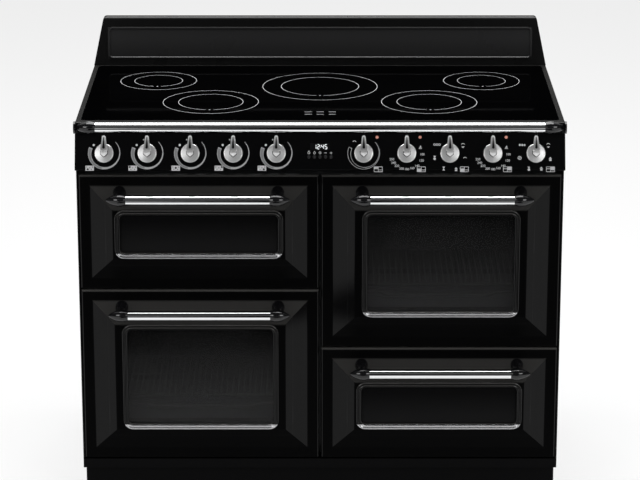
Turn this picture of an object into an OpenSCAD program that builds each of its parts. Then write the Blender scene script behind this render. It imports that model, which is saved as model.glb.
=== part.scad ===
// Free-standing induction range cooker, 110 cm wide, in pressed and enamelled steel sheet.
// Two ovens, a grill compartment and a storage drawer stand under a five-zone glass hob.
// Millimetres. The origin is the middle of the footprint on the floor, and the doors face -Y.

/* [Body] */
// Overall width
body_w = 1100; // [1060:5:1160]
// Depth from the doors' border faces to the rear edge
body_d = 600; // [590:5:640]
// Thickness of the enamelled outer sheet
skin_t = 1.5; // [1.2:0.1:1.8]
// Thickness of the chassis sheet
plate_t = 2; // [1.5:0.1:2.5]
// Height of the body's underside above the floor
underside_z = 71; // [60:1:100]
// Height of the sill strip under the doors
sill_h = 22; // [20:1:32]
// Width of the folded returns along the sheets' edges
return_w = 20; // [15:1:24]
// Width of the hem along the side panels' front edges
hem_w = 12; // [8:1:16]
// Height of the base pan's upturned edges
pan_lip = 20; // [14:1:26]
// How far the back panel stands in from the rear edge
back_recess = 30; // [26:1:36]
// Gap left between sheets that are spot-welded
weld_gap = 0.05; // [0.02:0.01:0.1]
// Width of a group of louvres in the back panel
louvre_w = 160; // [120:5:180]
// Distance between neighbouring groups of louvres
louvre_pitch = 220; // [200:5:240]
// Distance between louvres that stand one above the other
louvre_row = 16; // [15:1:20]
// Distance from the top of the back panel down to the lowest louvre
louvre_low = 170; // [150:5:220]
// Length of an air slot in the base pan
slot_l = 60; // [40:5:70]
// Width of an air slot in the base pan
slot_w = 8; // [5:1:12]
// Distance between neighbouring air slots
slot_pitch = 80; // [75:5:110]
// Distance from the base pan's front and rear edges to its air slots
slot_end = 150; // [130:5:180]
// Air gap between the doors and the control panel
vent_h = 18; // [14:1:24]

/* [Plinth and feet] */
// How far the plinth stands behind the doors' border faces
plinth_set = 30; // [20:1:45]
// Gap between the plinth and the floor
plinth_lift = 5; // [3:1:10]
// Diameter of a foot's pad
foot_d = 40; // [34:1:46]
// Thickness of a foot's pad
foot_pad = 8; // [6:1:12]
// Diameter of a foot's threaded stem
foot_stem_d = 10; // [8:1:14]
// Distance from the body's side to a foot's axis
foot_side = 50; // [40:1:70]
// Distance from the body's front and rear to a foot's axis
foot_end = 70; // [60:1:90]

/* [Doors] */
// Height of the two tall doors
tall_h = 408; // [396:1:420]
// Height of the grill door and the drawer front
short_h = 268; // [262:1:280]
// Gap between doors that stand one above the other
door_gap = 4; // [3.5:0.1:6]
// Gap between the two columns of doors
door_centre = 6; // [4:0.5:10]
// Distance from a door's outer edge to the body's side
door_side = 5; // [4:0.5:7]
// Depth of a door behind its border face
door_t = 40; // [38:0.5:46]
// Depth of the pressed front pan's flange
pan_t = 16; // [15:0.5:18]
// Radius of the pan's outer front edge
pan_edge_r = 4; // [3:0.5:5]
// Width of the flat border round the raised centre
border_w = 25; // [20:1:30]
// Width of the mitred slope up to the raised centre
slope_w = 52; // [46:1:54]
// How far the raised centre stands forward of the border
rise = 18; // [14:1:20]
// Radius of the creases at the foot and the crest of the slope
crease_r = 12; // [6:1:16]
// How far the short doors' middle field is pressed in
field_d = 6; // [4:0.5:8]
// How far the liner stands in from the door's edges
liner_inset = 22; // [20:1:26]
// Thickness of the liner sheet
liner_t = 1.2; // [1:0.1:1.5]

/* [Bead and windows] */
// Distance from a door's top or bottom edge to the bead
bead_top = 77; // [77:1:82]
// Distance from a tall door's side edge to the bead
bead_side_tall = 92; // [84:1:100]
// Distance from a short door's side edge to the bead
bead_side_short = 80; // [79:1:90]
// Width of the double bead
bead_w = 12; // [10:0.5:14]
// Height of the double bead
bead_h = 3.2; // [2:0.1:4]
// Outer corner radius of the bead
bead_r = 22; // [18:1:28]
// Depth of the window's turned-in edge
window_lip = 5; // [4:0.5:7]
// Thickness of the outer window pane
pane_t = 4; // [3:0.5:5]
// How far a pane reaches past the opening that it covers
pane_lap = 9; // [6:1:12]
// Distance from a tall liner's edge to its window opening
liner_frame = 62; // [50:1:70]

/* [Door hinges] */
// Distance from a door's lower front corner to the hinge axis, back and up
pivot_in = 10; // [10:0.5:10.5]
// Diameter of a hinge pin
pin_d = 6; // [5:0.5:6]
// Clearance round a hinge pin in the fixed arm
pin_play = 0.08; // [0.05:0.01:0.1]
// Width of a fixed hinge arm
arm_w = 10; // [8:0.5:12]
// Height of a fixed hinge arm
arm_h = 12; // [11:0.5:13]
// Clearance between an arm and the cheeks beside it
cheek_play = 0.3; // [0.2:0.05:0.5]
// Thickness of a hinge cheek
cheek_t = 2; // [1.5:0.1:2.5]
// Distance from a door's side edge to its hinge
hinge_side = 60; // [48:1:90]
// Height of a hinge's fixing plate
hinge_plate_h = 60; // [40:1:80]

/* [Handles] */
// Diameter of the chromed bars
bar_d = 22; // [20:0.5:24]
// Length of a door's bar between its finials
bar_l = 322; // [300:1:340]
// Wall of the chromed bars
bar_wall = 1.5; // [1:0.1:2]
// Distance from a door's border face to the bar's axis
handle_out = 60; // [56:1:64]
// Distance from a door's top edge to the bar's axis
handle_drop = 41.5; // [40:0.5:44]
// Length of a finial
finial_l = 44; // [40:1:48]
// Largest diameter of a finial
finial_d = 28; // [26:0.5:30]
// Clearance between a bar and its finials
finial_play = 0.1; // [0.05:0.05:0.2]
// Diameter of a handle's stand-off where it leaves the finial
standoff_d = 15; // [12:0.5:18]
// Diameter of a handle's stand-off at the door
standoff_foot_d = 34; // [28:1:38]

/* [Seals] */
// Thickness of the rubber seal round an oven's mouth
seal_t = 3.7; // [3:0.1:5]
// Gap between a seal and the closed door's liner
seal_play = 0.3; // [0.2:0.05:0.5]
// Width of the seal
seal_w = 8; // [6:0.5:10]
// Distance from the mouth's edge to the seal
seal_off = 5; // [3:0.5:7]

/* [Hob] */
// Height of the worktop frame
edge_h = 26; // [22:1:32]
// Corner radius of the worktop frame
worktop_r = 6; // [4:0.5:10]
// Radius along the worktop frame's upper edges
worktop_edge_r = 3; // [2:0.5:4]
// Width of the frame in front of the glass
rim_front = 20; // [16:1:26]
// Width of the frame beside the glass
rim_side = 12; // [9:0.5:16]
// Thickness of the glass
glass_t = 4; // [4:0.5:6]
// How far the glass lies below the frame's top
glass_drop = 0.8; // [0.3:0.1:1.5]
// Corner radius of the glass
glass_r = 10; // [6:1:16]
// Silicone gap round the glass
glass_play = 0.3; // [0.2:0.05:0.8]
// Width of the ledge that carries the glass
ledge_w = 8; // [6:1:12]
// Diameter of the rear side zones
zone_rear_d = 180; // [160:5:200]
// Diameter of the front side zones
zone_front_d = 220; // [200:5:230]
// Diameter of the middle zone
zone_mid_d = 270; // [240:5:280]
// Sideways distance from the centre to the rear side zones
zone_rear_x = 384; // [370:1:395]
// Sideways distance from the centre to the front side zones
zone_front_x = 252; // [245:1:262]
// Depth of the rear side zones' centres
zone_rear_y = 404; // [398:1:410]
// Depth of the front side zones' centres
zone_front_y = 195; // [190:1:200]
// Depth of the middle zone's centre
zone_mid_y = 348; // [340:1:354]
// Thickness of a coil's winding
winding_t = 8; // [6:0.5:9]

/* [Splashback] */
// Height of the splashback above the hob
splash_h = 116; // [100:1:140]
// Depth of the splashback's foot
splash_d = 38; // [36:1:44]
// How far its face leans back over its height
splash_lean = 18; // [12:1:20]
// How far each end slopes in over its height
splash_side = 24; // [14:1:34]
// Radius of the rolled top edge
splash_roll = 8; // [6:0.5:9]
// Radius of the top corners
splash_r = 8; // [5:1:14]
// Distance from the ends to the raised field
splash_field_side = 34; // [30:1:60]
// Distance from the hob to the raised field
splash_field_low = 15; // [12:1:24]
// Height of the raised field
splash_field_h = 78; // [60:1:80]
// Width of the bead round the raised field
splash_bead = 6; // [4:0.5:8]

/* [Front rail] */
// Distance from the worktop's front face to the rail's axis
rail_out = 30; // [26:1:34]
// Distance from the hob's top down to the rail's axis
rail_drop = 4; // [0:0.5:6]
// Thickness of the end brackets
bracket_t = 4; // [3:0.5:5]
// Height of the end brackets
bracket_h = 28; // [26:1:32]

/* [Control panel] */
// Height of the control panel
fascia_h = 79; // [76:1:86]
// How much further forward its lower edge stands than its upper one
fascia_lean = 30; // [24:1:34]
// How far its upper edge stands forward of the doors' border faces
fascia_set = 2; // [1:0.5:6]
// Radius of its lower front edge
fascia_r = 5; // [3:0.5:8]
// Distance from the centre to the first knob
knob_first = 98; // [94:0.5:102]
// Distance between neighbouring knobs
knob_pitch = 96.5; // [94:0.5:98]
// Distance up the panel's face to the knobs' axes
knob_v = 41; // [40:0.5:43]
// Diameter of a knob's skirt
knob_d = 43; // [38:0.5:48]
// Height of a knob's skirt
knob_skirt_h = 8; // [6:0.5:10]
// Reach of a knob's lever from the axis
lever_l = 39; // [34:0.5:40]
// Width of a knob's lever at its root
lever_w = 15; // [12:0.5:18]
// Width of a knob's lever at its tip
lever_tip_w = 8.5; // [6:0.5:10]
// Height of a knob's lever above the panel
lever_h = 20; // [16:0.5:21]
// Gap between a knob and the panel
knob_gap = 0.8; // [0.5:0.1:1.2]
// Diameter of a knob's spindle
spindle_d = 6; // [5:0.5:8]
// Running clearance round a spindle in its switch
spindle_play = 0.08; // [0.04:0.01:0.1]
// Length of a spindle behind the panel's face
spindle_l = 16; // [14:0.5:18]
// Side of a knob's switch
switch_w = 34; // [28:1:38]
// Depth of a knob's switch
switch_d = 20; // [18:1:24]
// Width of the timer's display window
display_w = 44; // [38:1:50]
// Height of the timer's display window
display_h = 17; // [14:0.5:18]
// Distance from the knobs' line up to the display's middle
display_up = 14.5; // [13:0.5:16]
// Distance from the knobs' line down to the timer's buttons
button_down = 8; // [7:0.5:10]
// Diameter of a timer button
button_d = 8; // [6:0.5:9]
// Distance between neighbouring timer buttons
button_pitch = 12.4; // [11.5:0.1:13]
// How far a timer button stands out of the panel
button_h = 2.2; // [2:0.1:3]
// Travel of a timer button
button_travel = 1.5; // [1:0.1:1.8]
// Diameter of an indicator lamp's lens
lamp_d = 7; // [6:0.5:8]
// Sideways distance from a knob's axis to its lamp
lamp_side = 30; // [27:0.5:33]
// Distance from a knob's axis up to its lamp
lamp_up = 36; // [34:0.5:37]

/* [Ovens] */
// Width of the oven cavities
cavity_w = 430; // [410:1:440]
// Depth of the oven cavities
cavity_d = 400; // [380:1:410]
// Corner radius of the oven cavities
cavity_r = 12; // [8:1:20]
// Thickness of the cavities' sheet
cavity_t = 1.5; // [1:0.1:2]
// Distance from a door's lower edge up to the cavity's floor
mouth_low = 50; // [48:1:56]
// Distance from a door's upper edge down to the cavity's roof
mouth_high = 42; // [40:1:48]
// Width of the cavities' flange behind the front plate
flange_w = 14; // [10:1:16]
// Diameter of the shelf ladders' rods
rod_d = 5; // [4:0.5:6]
// Height of the lowest shelf rail above the cavity's floor
rail_low = 16; // [16:0.5:20]
// Distance between neighbouring shelf rails
rail_pitch = 40; // [36:1:44]
// Diameter of a shelf's frame rod
shelf_rod_d = 6; // [5:0.5:7]
// Distance between a shelf's thin wires
wire_pitch = 13.5; // [12:0.5:20]
// Diameter of a shelf's thin wires
wire_d = 3; // [2.5:0.1:3.5]
// Depth of a baking tray
tray_h = 13; // [8:1:15]
// Thickness of a baking tray's sheet
tray_t = 1.2; // [0.8:0.1:1.5]
// Diameter of the tubular heating elements
element_d = 6.5; // [6:0.5:8]
// Distance from a cavity's side walls to the grill element's outer legs
element_side = 60; // [50:1:80]
// Distance from a cavity's roof to the grill element
element_drop = 24; // [22:1:26]
// Distance from a cavity's mouth and rear wall to the grill element's bends
element_end = 60; // [50:1:80]
// Length of an element's tails behind the rear wall
element_tail = 12; // [8:1:20]
// Distance from a fan's axis to the ring element's tails
ring_tail_x = 12; // [10:1:16]
// Width of the fan cover
cover_w = 230; // [210:1:250]
// Height of the fan cover
cover_h = 210; // [200:1:230]
// Depth of the fan cover
cover_d = 38; // [34:1:44]
// Thickness of the fan cover's sheet
cover_t = 1.2; // [1:0.1:1.5]
// Diameter of the fan wheel
fan_d = 126; // [110:1:132]
// Width of the fan wheel's blades
fan_w = 20; // [14:1:22]
// Number of the fan wheel's blades
fan_blades = 12; // [8:1:16]
// Diameter of the fan wheel's hub
hub_d = 26; // [22:1:32]
// Thickness of the fan wheel's plate
fan_plate_t = 1.2; // [1:0.1:1.6]
// Diameter of the ring element's centre line
ring_d = 160; // [150:1:170]
// Diameter of the fan's shaft
shaft_d = 8; // [6:0.5:10]
// Diameter of the fan's motor
motor_d = 64; // [56:1:72]
// Length of the fan's motor
motor_l = 48; // [40:1:56]
// Gap between a cavity's rear wall and the motor
motor_gap = 10; // [8:1:14]
// How far the shaft reaches into the motor
shaft_in = 20; // [14:1:22]

/* [Drawer] */
// Inner half of the drawer box's width, measured to its outer faces
drawer_half = 225; // [205:1:228]
// Height of the drawer box
drawer_h = 160; // [120:1:164]
// Length of the drawer box
drawer_l = 480; // [460:1:490]
// Thickness of the drawer's sheet
drawer_t = 1.5; // [1:0.1:2]
// Distance from the drawer front's lower edge up to the box
drawer_low = 21; // [16:1:22]
// Width of a drawer runner
runner_w = 10.5; // [9:0.5:12]
// Height of a drawer runner
runner_h = 30; // [24:1:34]
// Clearance round a drawer runner
runner_play = 0.4; // [0.3:0.05:0.6]

/* [Connection] */
// Width of the terminal box
terminal_w = 120; // [100:1:140]
// Height of the terminal box
terminal_h = 90; // [80:1:110]
// Bore radius of the cable gland
gland_r = 8; // [6:0.5:9]
// Length of the cable gland
gland_l = 22; // [18:1:28]
// Diameter of the two holes for the stability bracket
bracket_hole_d = 6.5; // [5:0.5:8]
// Distance between the two holes for the stability bracket
bracket_hole_pitch = 200; // [160:5:240]

/* [Hidden] */
$fn = 48;
eps = 0.5;
// Depth planes
reach = handle_out + finial_d / 2;
front_y = reach - (body_d + reach) / 2;
rear_y = front_y + body_d;
chassis_y = front_y + door_t + seal_t + seal_play;
plate_y = chassis_y + plate_t;
back_y = rear_y - back_recess;
edge_set = 3;
// Widths
half_w = body_w / 2;
inner_w = half_w - skin_t;
door_w = half_w - door_side - door_centre / 2;
col_x = (door_centre + door_w) / 2;
// Heights
base_z = underside_z + skin_t;
sill_z = underside_z + sill_h;
door_z = sill_z + door_gap;
grill_z = door_z + tall_h + door_gap;
second_z = door_z + short_h + door_gap;
doors_top = second_z + tall_h;
fascia_z = doors_top + vent_h;
deck_z = fascia_z + fascia_h;
hob_z = deck_z + edge_h;
// Cavities: sideways centre, floor height, inner height
tall_mouth = tall_h - mouth_low - mouth_high;
short_mouth = short_h - mouth_low - mouth_high;
main_oven = [-col_x, door_z + mouth_low, tall_mouth];
second_oven = [col_x, second_z + mouth_low, tall_mouth];
grill_oven = [-col_x, grill_z + mouth_low, short_mouth];
wall_y = plate_y + cavity_d;
open_r = bead_r - bead_w;
// Control panel
fascia_a = atan(fascia_lean / fascia_h);
fascia_foot_y = front_y - fascia_set - fascia_lean;
knob_xs = concat([for (i = [-4:0]) i * knob_pitch - knob_first],
    [for (i = [0:4]) i * knob_pitch + knob_first]);
button_xs = [for (i = [-2:2]) i * button_pitch];
button_collar = 1.3;
button_dish = 0.8;
lamp_xs = [for (i = [5, 6, 8]) knob_xs[i] + lamp_side];
// Rail and handles
rail_y = front_y - rail_out;
rail_z = hob_z - rail_drop;
rail_half = half_w - bracket_t - finial_l - finial_play;
// Hob glass and its coils
glass_w = body_w - 2 * rim_side;
glass_l = body_d - splash_d - rim_front - 6;
glass_top = hob_z - glass_drop;
glass_low = glass_top - glass_t;
glass_mid = front_y + rim_front + glass_l / 2;
zones = [
    [-zone_rear_x, zone_rear_y, zone_rear_d],
    [zone_rear_x, zone_rear_y, zone_rear_d],
    [-zone_front_x, zone_front_y, zone_front_d],
    [zone_front_x, zone_front_y, zone_front_d],
    [0, zone_mid_y, zone_mid_d]
];
// Shelves
ladder_x = cavity_w / 2 - 5;
rung_x = ladder_x - 4;
shelf_half = ladder_x - rod_d / 2 - 1 - shelf_rod_d / 2;
// Fans
fan_y = wall_y - cover_d / 2;
motor_y = wall_y + cavity_t + motor_gap;
element_x = cavity_w / 2 - element_side;
// Back panel and base pan
louvre_groups = floor(2 * inner_w / louvre_pitch);
louvre_xs = [for (i = [0:louvre_groups - 1]) (i - (louvre_groups - 1) / 2) * louvre_pitch];
slots_a_side = floor((inner_w - foot_side - slot_l) / slot_pitch);
// Drawer
drawer_z = door_z + drawer_low;
runner_z = drawer_z + drawer_h / 2;
carrier_x = drawer_half + runner_w + runner_play;

// ---- Shapes that repeat ----

// Points of the arc of radius r that rounds corner b between neighbours a and c
function rounded(a, b, c, r, n = 4) =
    let (u = (a - b) / norm(a - b), w = (c - b) / norm(c - b), half = acos(u * w) / 2)
    let (mid = b + (u + w) / norm(u + w) * r / sin(half))
    let (p = b + u * r / tan(half) - mid, q = b + w * r / tan(half) - mid)
    let (a0 = atan2(p[1], p[0]), turn = (atan2(q[1], q[0]) - a0 + 540) % 360 - 180)
    [for (i = [0:n]) mid + r * [cos(a0 + turn * i / n), sin(a0 + turn * i / n)]];

// A block given by two opposite corners
module block(a, b) {
    translate(a) cube(b - a);
}

// A pair of mirrored copies, left and right of the middle
module both_sides() {
    for (side = [0, 1])
        mirror([side, 0, 0]) children();
}

// Stands a drawing up in the plane y, its own +Z towards the front
module facing(x, y, z) {
    translate([x, y, z]) rotate([90, 0, 0]) children();
}

// Puts a part on the control panel's face, its own +Z straight out of it
module on_fascia(x, v) {
    translate([x, fascia_foot_y + v * sin(fascia_a), fascia_z + v * cos(fascia_a)])
        rotate([90 - fascia_a, 0, 0]) children();
}

// Rectangle with round corners, about its middle
module soft_rect(w, h, r) {
    square([w - 2 * r, h], center = true);
    square([w, h - 2 * r], center = true);
    for (x = [r - w / 2, w / 2 - r], y = [r - h / 2, h / 2 - r])
        translate([x, y]) circle(r = r);
}

// Carries its 2D profile round a rectangle of the given centre line
module ring(w, h, r) {
    for (a = [0, 180]) rotate([0, 0, a]) {
        translate([w / 2, h / 2 - r, 0]) rotate([90, 0, 0])
            linear_extrude(h - 2 * r) children();
        rotate([0, 0, 90]) translate([h / 2, w / 2 - r, 0]) rotate([90, 0, 0])
            linear_extrude(w - 2 * r) children();
        translate([w / 2 - r, h / 2 - r, 0])
            rotate_extrude(angle = 90) translate([r, 0]) children();
        translate([r - w / 2, h / 2 - r, 0])
            rotate([0, 0, 90]) rotate_extrude(angle = 90) translate([r, 0]) children();
    }
}

// A round rod between two points
module rod(a, b, d) {
    v = b - a;
    translate(a) rotate([0, acos(v[2] / norm(v)), atan2(v[1], v[0])])
        cylinder(d = d, h = norm(v));
}

// A hollow bar along X about its middle
module bar(l) {
    rotate([0, 90, 0]) difference() {
        cylinder(d = bar_d, h = l, center = true);
        cylinder(d = bar_d - 2 * bar_wall, h = l + 2 * eps, center = true);
    }
}

// Acorn finial along +X from its collar: it swells, then runs out to a blunt tip
module finial() {
    steps = 12;
    swell = 0.3;
    tip_r = 2;
    full = finial_d / 2;
    collar = bar_d / 2 + 0.5;
    function acorn_r(t) = t < swell
        ? collar + (full - collar) * sin(90 * t / swell)
        : tip_r + (full - tip_r) * pow(cos(90 * (t - swell) / (1 - swell)), 0.85);
    rotate([0, 90, 0]) rotate_extrude()
        polygon(concat([[0, 0]],
            [for (i = [0:steps]) [acorn_r(i / steps), finial_l * i / steps]],
            [[0, finial_l]]));
    // Plug that sits in the end of the bar
    rotate([0, 90, 0]) translate([0, 0, -8])
        cylinder(d = bar_d - 2 * bar_wall - 2 * finial_play, h = 8 + eps);
}

// ---- Body ----

module side_panels() {
    color("#101012") both_sides() {
        difference() {
            block([inner_w, front_y + edge_set, underside_z], [half_w, rear_y, deck_z]);
            block([inner_w - eps, front_y, fascia_z], [half_w + eps, chassis_y, deck_z + eps]);
        }
        // Folded hem along the front edge
        block([inner_w - skin_t, front_y + edge_set, sill_z],
            [inner_w, front_y + edge_set + hem_w, fascia_z]);
        // Return that carries the worktop
        block([half_w - return_w, plate_y, deck_z - skin_t], [inner_w, back_y, deck_z]);
        // Return along the rear edge
        block([half_w - return_w, rear_y - skin_t, underside_z], [inner_w, rear_y, deck_z]);
    }
}

module louvres(count, w) {
    // Pressed slots, each under a small sloping hood on the outer side
    for (i = [0:count - 1]) translate([0, 0, i * louvre_row])
        difference() {
            translate([-w / 2, 0, 0]) rotate([90, 0, 90]) linear_extrude(w)
                polygon([[0, 0], [7, 0], [7, 1.5], [0, 10]]);
            translate([1.5 - w / 2, -eps, -eps]) rotate([90, 0, 90]) linear_extrude(w - 3)
                polygon([[0, 0], [6, 0], [6, 1.2], [0, 8.5]]);
        }
}

module back_panel() {
    rows = 7;
    slot_h = 6;
    low = deck_z - louvre_low;
    slot_half = louvre_w / 2 - 2;
    color("#8c8f92") {
        difference() {
            block([-inner_w, back_y, base_z], [inner_w, back_y + skin_t, deck_z]);
            for (x = louvre_xs, i = [0:rows - 1])
                block([x - slot_half, back_y - eps, low + i * louvre_row],
                    [x + slot_half, back_y + skin_t + eps, low + i * louvre_row + slot_h]);
            // Wires to the terminal box
            block([terminal_x - 30, back_y - eps, terminal_z + 30],
                [terminal_x + 30, back_y + skin_t + eps, terminal_z + 60]);
            for (x = [-bracket_hole_pitch / 2, bracket_hole_pitch / 2])
                translate([x, back_y - eps, bracket_hole_z]) rotate([-90, 0, 0])
                    cylinder(d = bracket_hole_d, h = skin_t + 2 * eps);
        }
        for (x = louvre_xs)
            translate([x, back_y + skin_t, low - 1]) louvres(rows, louvre_w);
    }
}
terminal_x = col_x + 60;
terminal_z = base_z + 120;
bracket_hole_z = deck_z - 36;

module base_pan() {
    color("#1c1c1e") {
        difference() {
            block([-inner_w, front_y + edge_set, underside_z], [inner_w, back_y, base_z]);
            // Air slots between the feet
            for (i = [-slots_a_side:slots_a_side], y = [front_y + slot_end, back_y - slot_end])
                block([i * slot_pitch - slot_l / 2, y - slot_w / 2, underside_z - eps],
                    [i * slot_pitch + slot_l / 2, y + slot_w / 2, base_z + eps]);
        }
        block([-inner_w, front_y + edge_set, underside_z], [inner_w, front_y + edge_set + skin_t, sill_z]);
        block([-inner_w, front_y + edge_set, sill_z - skin_t], [inner_w, chassis_y, sill_z]);
        both_sides() block([inner_w - skin_t, plate_y, underside_z], [inner_w, back_y, base_z + pan_lip]);
        block([-inner_w, back_y - skin_t, underside_z], [inner_w, back_y, base_z + pan_lip]);
    }
}

module plinth() {
    side = half_w - 4;
    y = front_y + plinth_set;
    color("#0d0d0e") {
        block([-side, y, plinth_lift], [side, y + skin_t, underside_z]);
        block([-side, y, underside_z - skin_t], [side, y + 14, underside_z]);
        both_sides() block([side - skin_t, y, plinth_lift], [side, back_y, underside_z]);
    }
}

module foot() {
    nut_h = 7;
    socket_h = 16;
    // Pad with a bevelled upper edge
    rotate_extrude() polygon([[0, 0], [foot_d / 2, 0], [foot_d / 2, foot_pad - 3],
        [foot_d / 2 - 4, foot_pad], [0, foot_pad]]);
    cylinder(d = foot_stem_d, h = underside_z - socket_h / 2);
    translate([0, 0, foot_pad]) cylinder(d = foot_stem_d * 1.9, h = nut_h, $fn = 6);
    translate([0, 0, underside_z - socket_h]) cylinder(d = foot_stem_d + 16, h = socket_h);
}

module feet() {
    color("#2b2b2d") both_sides()
        for (y = [front_y + foot_end, rear_y - foot_end])
            translate([half_w - foot_side, y, 0]) foot();
}

// One fixed hinge arm, welded on the front plate: it holds the pin in its round nose
module hinge_arm(x, z) {
    y = front_y + pivot_in;
    difference() {
        union() {
            block([x - arm_w / 2, y, z - arm_h / 2],
                [x + arm_w / 2, chassis_y - weld_gap, z + arm_h / 2]);
            translate([x - arm_w / 2, y, z]) rotate([0, 90, 0]) cylinder(d = arm_h, h = arm_w);
        }
        translate([x - arm_w / 2 - eps, y, z]) rotate([0, 90, 0])
            cylinder(r = pin_d / 2 + pin_play, h = arm_w + 2 * eps);
    }
}

module mouth(oven, grow = 0) {
    soft_rect(cavity_w + 2 * grow, oven[2] + 2 * grow, cavity_r + grow);
}

module chassis_frame() {
    drawer_top = second_z - 24;
    shelf_low = door_z + short_h + (door_gap - plate_t) / 2;
    shelf_high = door_z + tall_h + (door_gap - plate_t) / 2;
    weld_y = plate_y + weld_gap;
    color("#3a3b3d") {
        difference() {
            block([-inner_w, chassis_y, base_z], [inner_w, plate_y, deck_z]);
            for (oven = [main_oven, second_oven, grill_oven])
                facing(oven[0], plate_y + eps, oven[1] + oven[2] / 2)
                    linear_extrude(plate_t + 2 * eps) mouth(oven);
            block([col_x - carrier_x, chassis_y - eps, drawer_z - 8],
                [col_x + carrier_x, plate_y + eps, drawer_top]);
            // Openings for the wiring behind the control panel
            for (x = [-inner_w / 2, inner_w / 2])
                block([x - 220, chassis_y - eps, fascia_z + 14],
                    [x + 220, plate_y + eps, deck_z - 14]);
            // Cooling air leaves through slots above the doors
            for (c = [-col_x, col_x], i = [-5:5])
                block([c + i * 42 - 15, chassis_y - eps, doors_top + 5],
                    [c + i * 42 + 15, plate_y + eps, fascia_z - 5]);
        }
        // Middle partition, and the decks between the compartments
        block([-plate_t / 2, weld_y, base_z], [plate_t / 2, back_y - skin_t, deck_z]);
        block([-plate_t / 2, weld_y, base_z + pan_lip], [plate_t / 2, back_y, deck_z]);
        block([-inner_w, weld_y, shelf_high], [-plate_t / 2 - weld_gap, back_y, shelf_high + plate_t]);
        block([plate_t / 2 + weld_gap, weld_y, shelf_low], [inner_w, back_y, shelf_low + plate_t]);
        // Drawer rails: a channel on each side, open towards the drawer
        for (side = [0, 1]) translate([col_x, 0, 0]) mirror([side, 0, 0]) {
            rail_top = runner_z + runner_h / 2 + runner_play;
            rail_low_z = runner_z - runner_h / 2 - runner_play;
            lip_x = carrier_x - 0.7 * runner_w;
            block([carrier_x, weld_y, rail_low_z - 14],
                [carrier_x + plate_t, back_y, rail_top + 14]);
            block([lip_x, weld_y, rail_top], [carrier_x + eps, back_y, rail_top + plate_t]);
            block([lip_x, weld_y, rail_low_z - plate_t], [carrier_x + eps, back_y, rail_low_z]);
        }
        for (door = [[-col_x, door_z], [-col_x, grill_z], [col_x, second_z]], side = [-1, 1])
            hinge_arm(door[0] + side * (door_w / 2 - hinge_side), door[1] + pivot_in);
    }
}

// ---- Hob ----

module worktop_frame() {
    mid = front_y + body_d / 2;
    pocket = [glass_w + 2 * glass_play, glass_l + 2 * glass_play];
    pocket_r = glass_r + glass_play;
    color("#0f0f10") {
        difference() {
            intersection() {
                translate([0, mid, deck_z]) linear_extrude(edge_h)
                    soft_rect(body_w, body_d, worktop_r);
                // Rounded upper edges, front and rear, then left and right
                translate([-half_w - eps, mid, 0]) rotate([90, 0, 90])
                    linear_extrude(body_w + 2 * eps) edge_profile(body_d);
                facing(0, rear_y + eps, 0) linear_extrude(body_d + 2 * eps) edge_profile(body_w);
            }
            translate([0, mid, deck_z - eps]) linear_extrude(edge_h - skin_t + eps)
                soft_rect(body_w - 2 * skin_t, body_d - 2 * skin_t, worktop_r - skin_t);
            translate([0, glass_mid, glass_low]) linear_extrude(2 * glass_t)
                soft_rect(pocket[0], pocket[1], pocket_r);
        }
        // Turned-down collar and ledge that carry the glass
        translate([0, glass_mid, 0]) difference() {
            translate([0, 0, glass_low - skin_t]) linear_extrude(hob_z - glass_low)
                soft_rect(pocket[0] + 2 * skin_t, pocket[1] + 2 * skin_t, pocket_r + skin_t);
            translate([0, 0, glass_low]) linear_extrude(2 * glass_t)
                soft_rect(pocket[0], pocket[1], pocket_r);
            translate([0, 0, glass_low - skin_t - eps]) linear_extrude(2 * glass_t)
                soft_rect(glass_w - 2 * ledge_w, glass_l - 2 * ledge_w, glass_r);
        }
    }
}

// Upright outline of the worktop with its two upper corners rounded
module edge_profile(w) {
    r = worktop_edge_r;
    translate([-w / 2, deck_z - eps]) square([w, edge_h + eps - r]);
    translate([r - w / 2, deck_z]) square([w - 2 * r, edge_h]);
    for (x = [r - w / 2, w / 2 - r])
        translate([x, hob_z - r]) circle(r = r);
}

module hob_glass() {
    color("#050506") translate([0, glass_mid, glass_low]) linear_extrude(glass_t)
        soft_rect(glass_w, glass_l, glass_r);
}

module coil_tray() {
    edge = 24;
    color("#b4b6b8") difference() {
        block([edge - inner_w, chassis_y, deck_z], [inner_w - edge, back_y, deck_z + skin_t]);
        for (zone = zones)
            translate([zone[0], front_y + zone[1], deck_z - eps])
                cylinder(d = zone[2] / 3, h = skin_t + 2 * eps);
    }
    color("#b4b6b8") both_sides()
        block([inner_w - edge, plate_y, deck_z], [inner_w - skin_t, back_y, deck_z + skin_t]);
}

module induction_coils() {
    carrier_t = 2;
    low = deck_z + skin_t;
    high = glass_low - 0.3;
    for (zone = zones) translate([zone[0], front_y + zone[1], 0]) {
        r = zone[2] / 2 - 8;
        hole_r = zone[2] / 6;
        color("#c9cbcd") {
            translate([0, 0, high - winding_t - carrier_t]) difference() {
                cylinder(r = r, h = carrier_t);
                translate([0, 0, -eps]) cylinder(r = hole_r, h = carrier_t + 2 * eps);
            }
            for (a = [45:90:315]) rotate([0, 0, a])
                translate([r - 12, 0, low])
                    cylinder(d = 8, h = high - winding_t - carrier_t - low + eps);
        }
        // Winding: flat turns with narrow gaps between them
        color("#b5652f") for (i = [0:3]) {
            pitch = (r - 4 - hole_r) / 4;
            translate([0, 0, high - winding_t - eps / 2]) difference() {
                cylinder(r = r - 4 - i * pitch, h = winding_t + eps / 2);
                translate([0, 0, carrier_t])
                    cylinder(r = r - 4 - (i + 1) * pitch + 2, h = winding_t + eps);
                translate([0, 0, -eps]) cylinder(r = hole_r, h = winding_t + 2 * eps);
            }
        }
    }
}

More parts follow.
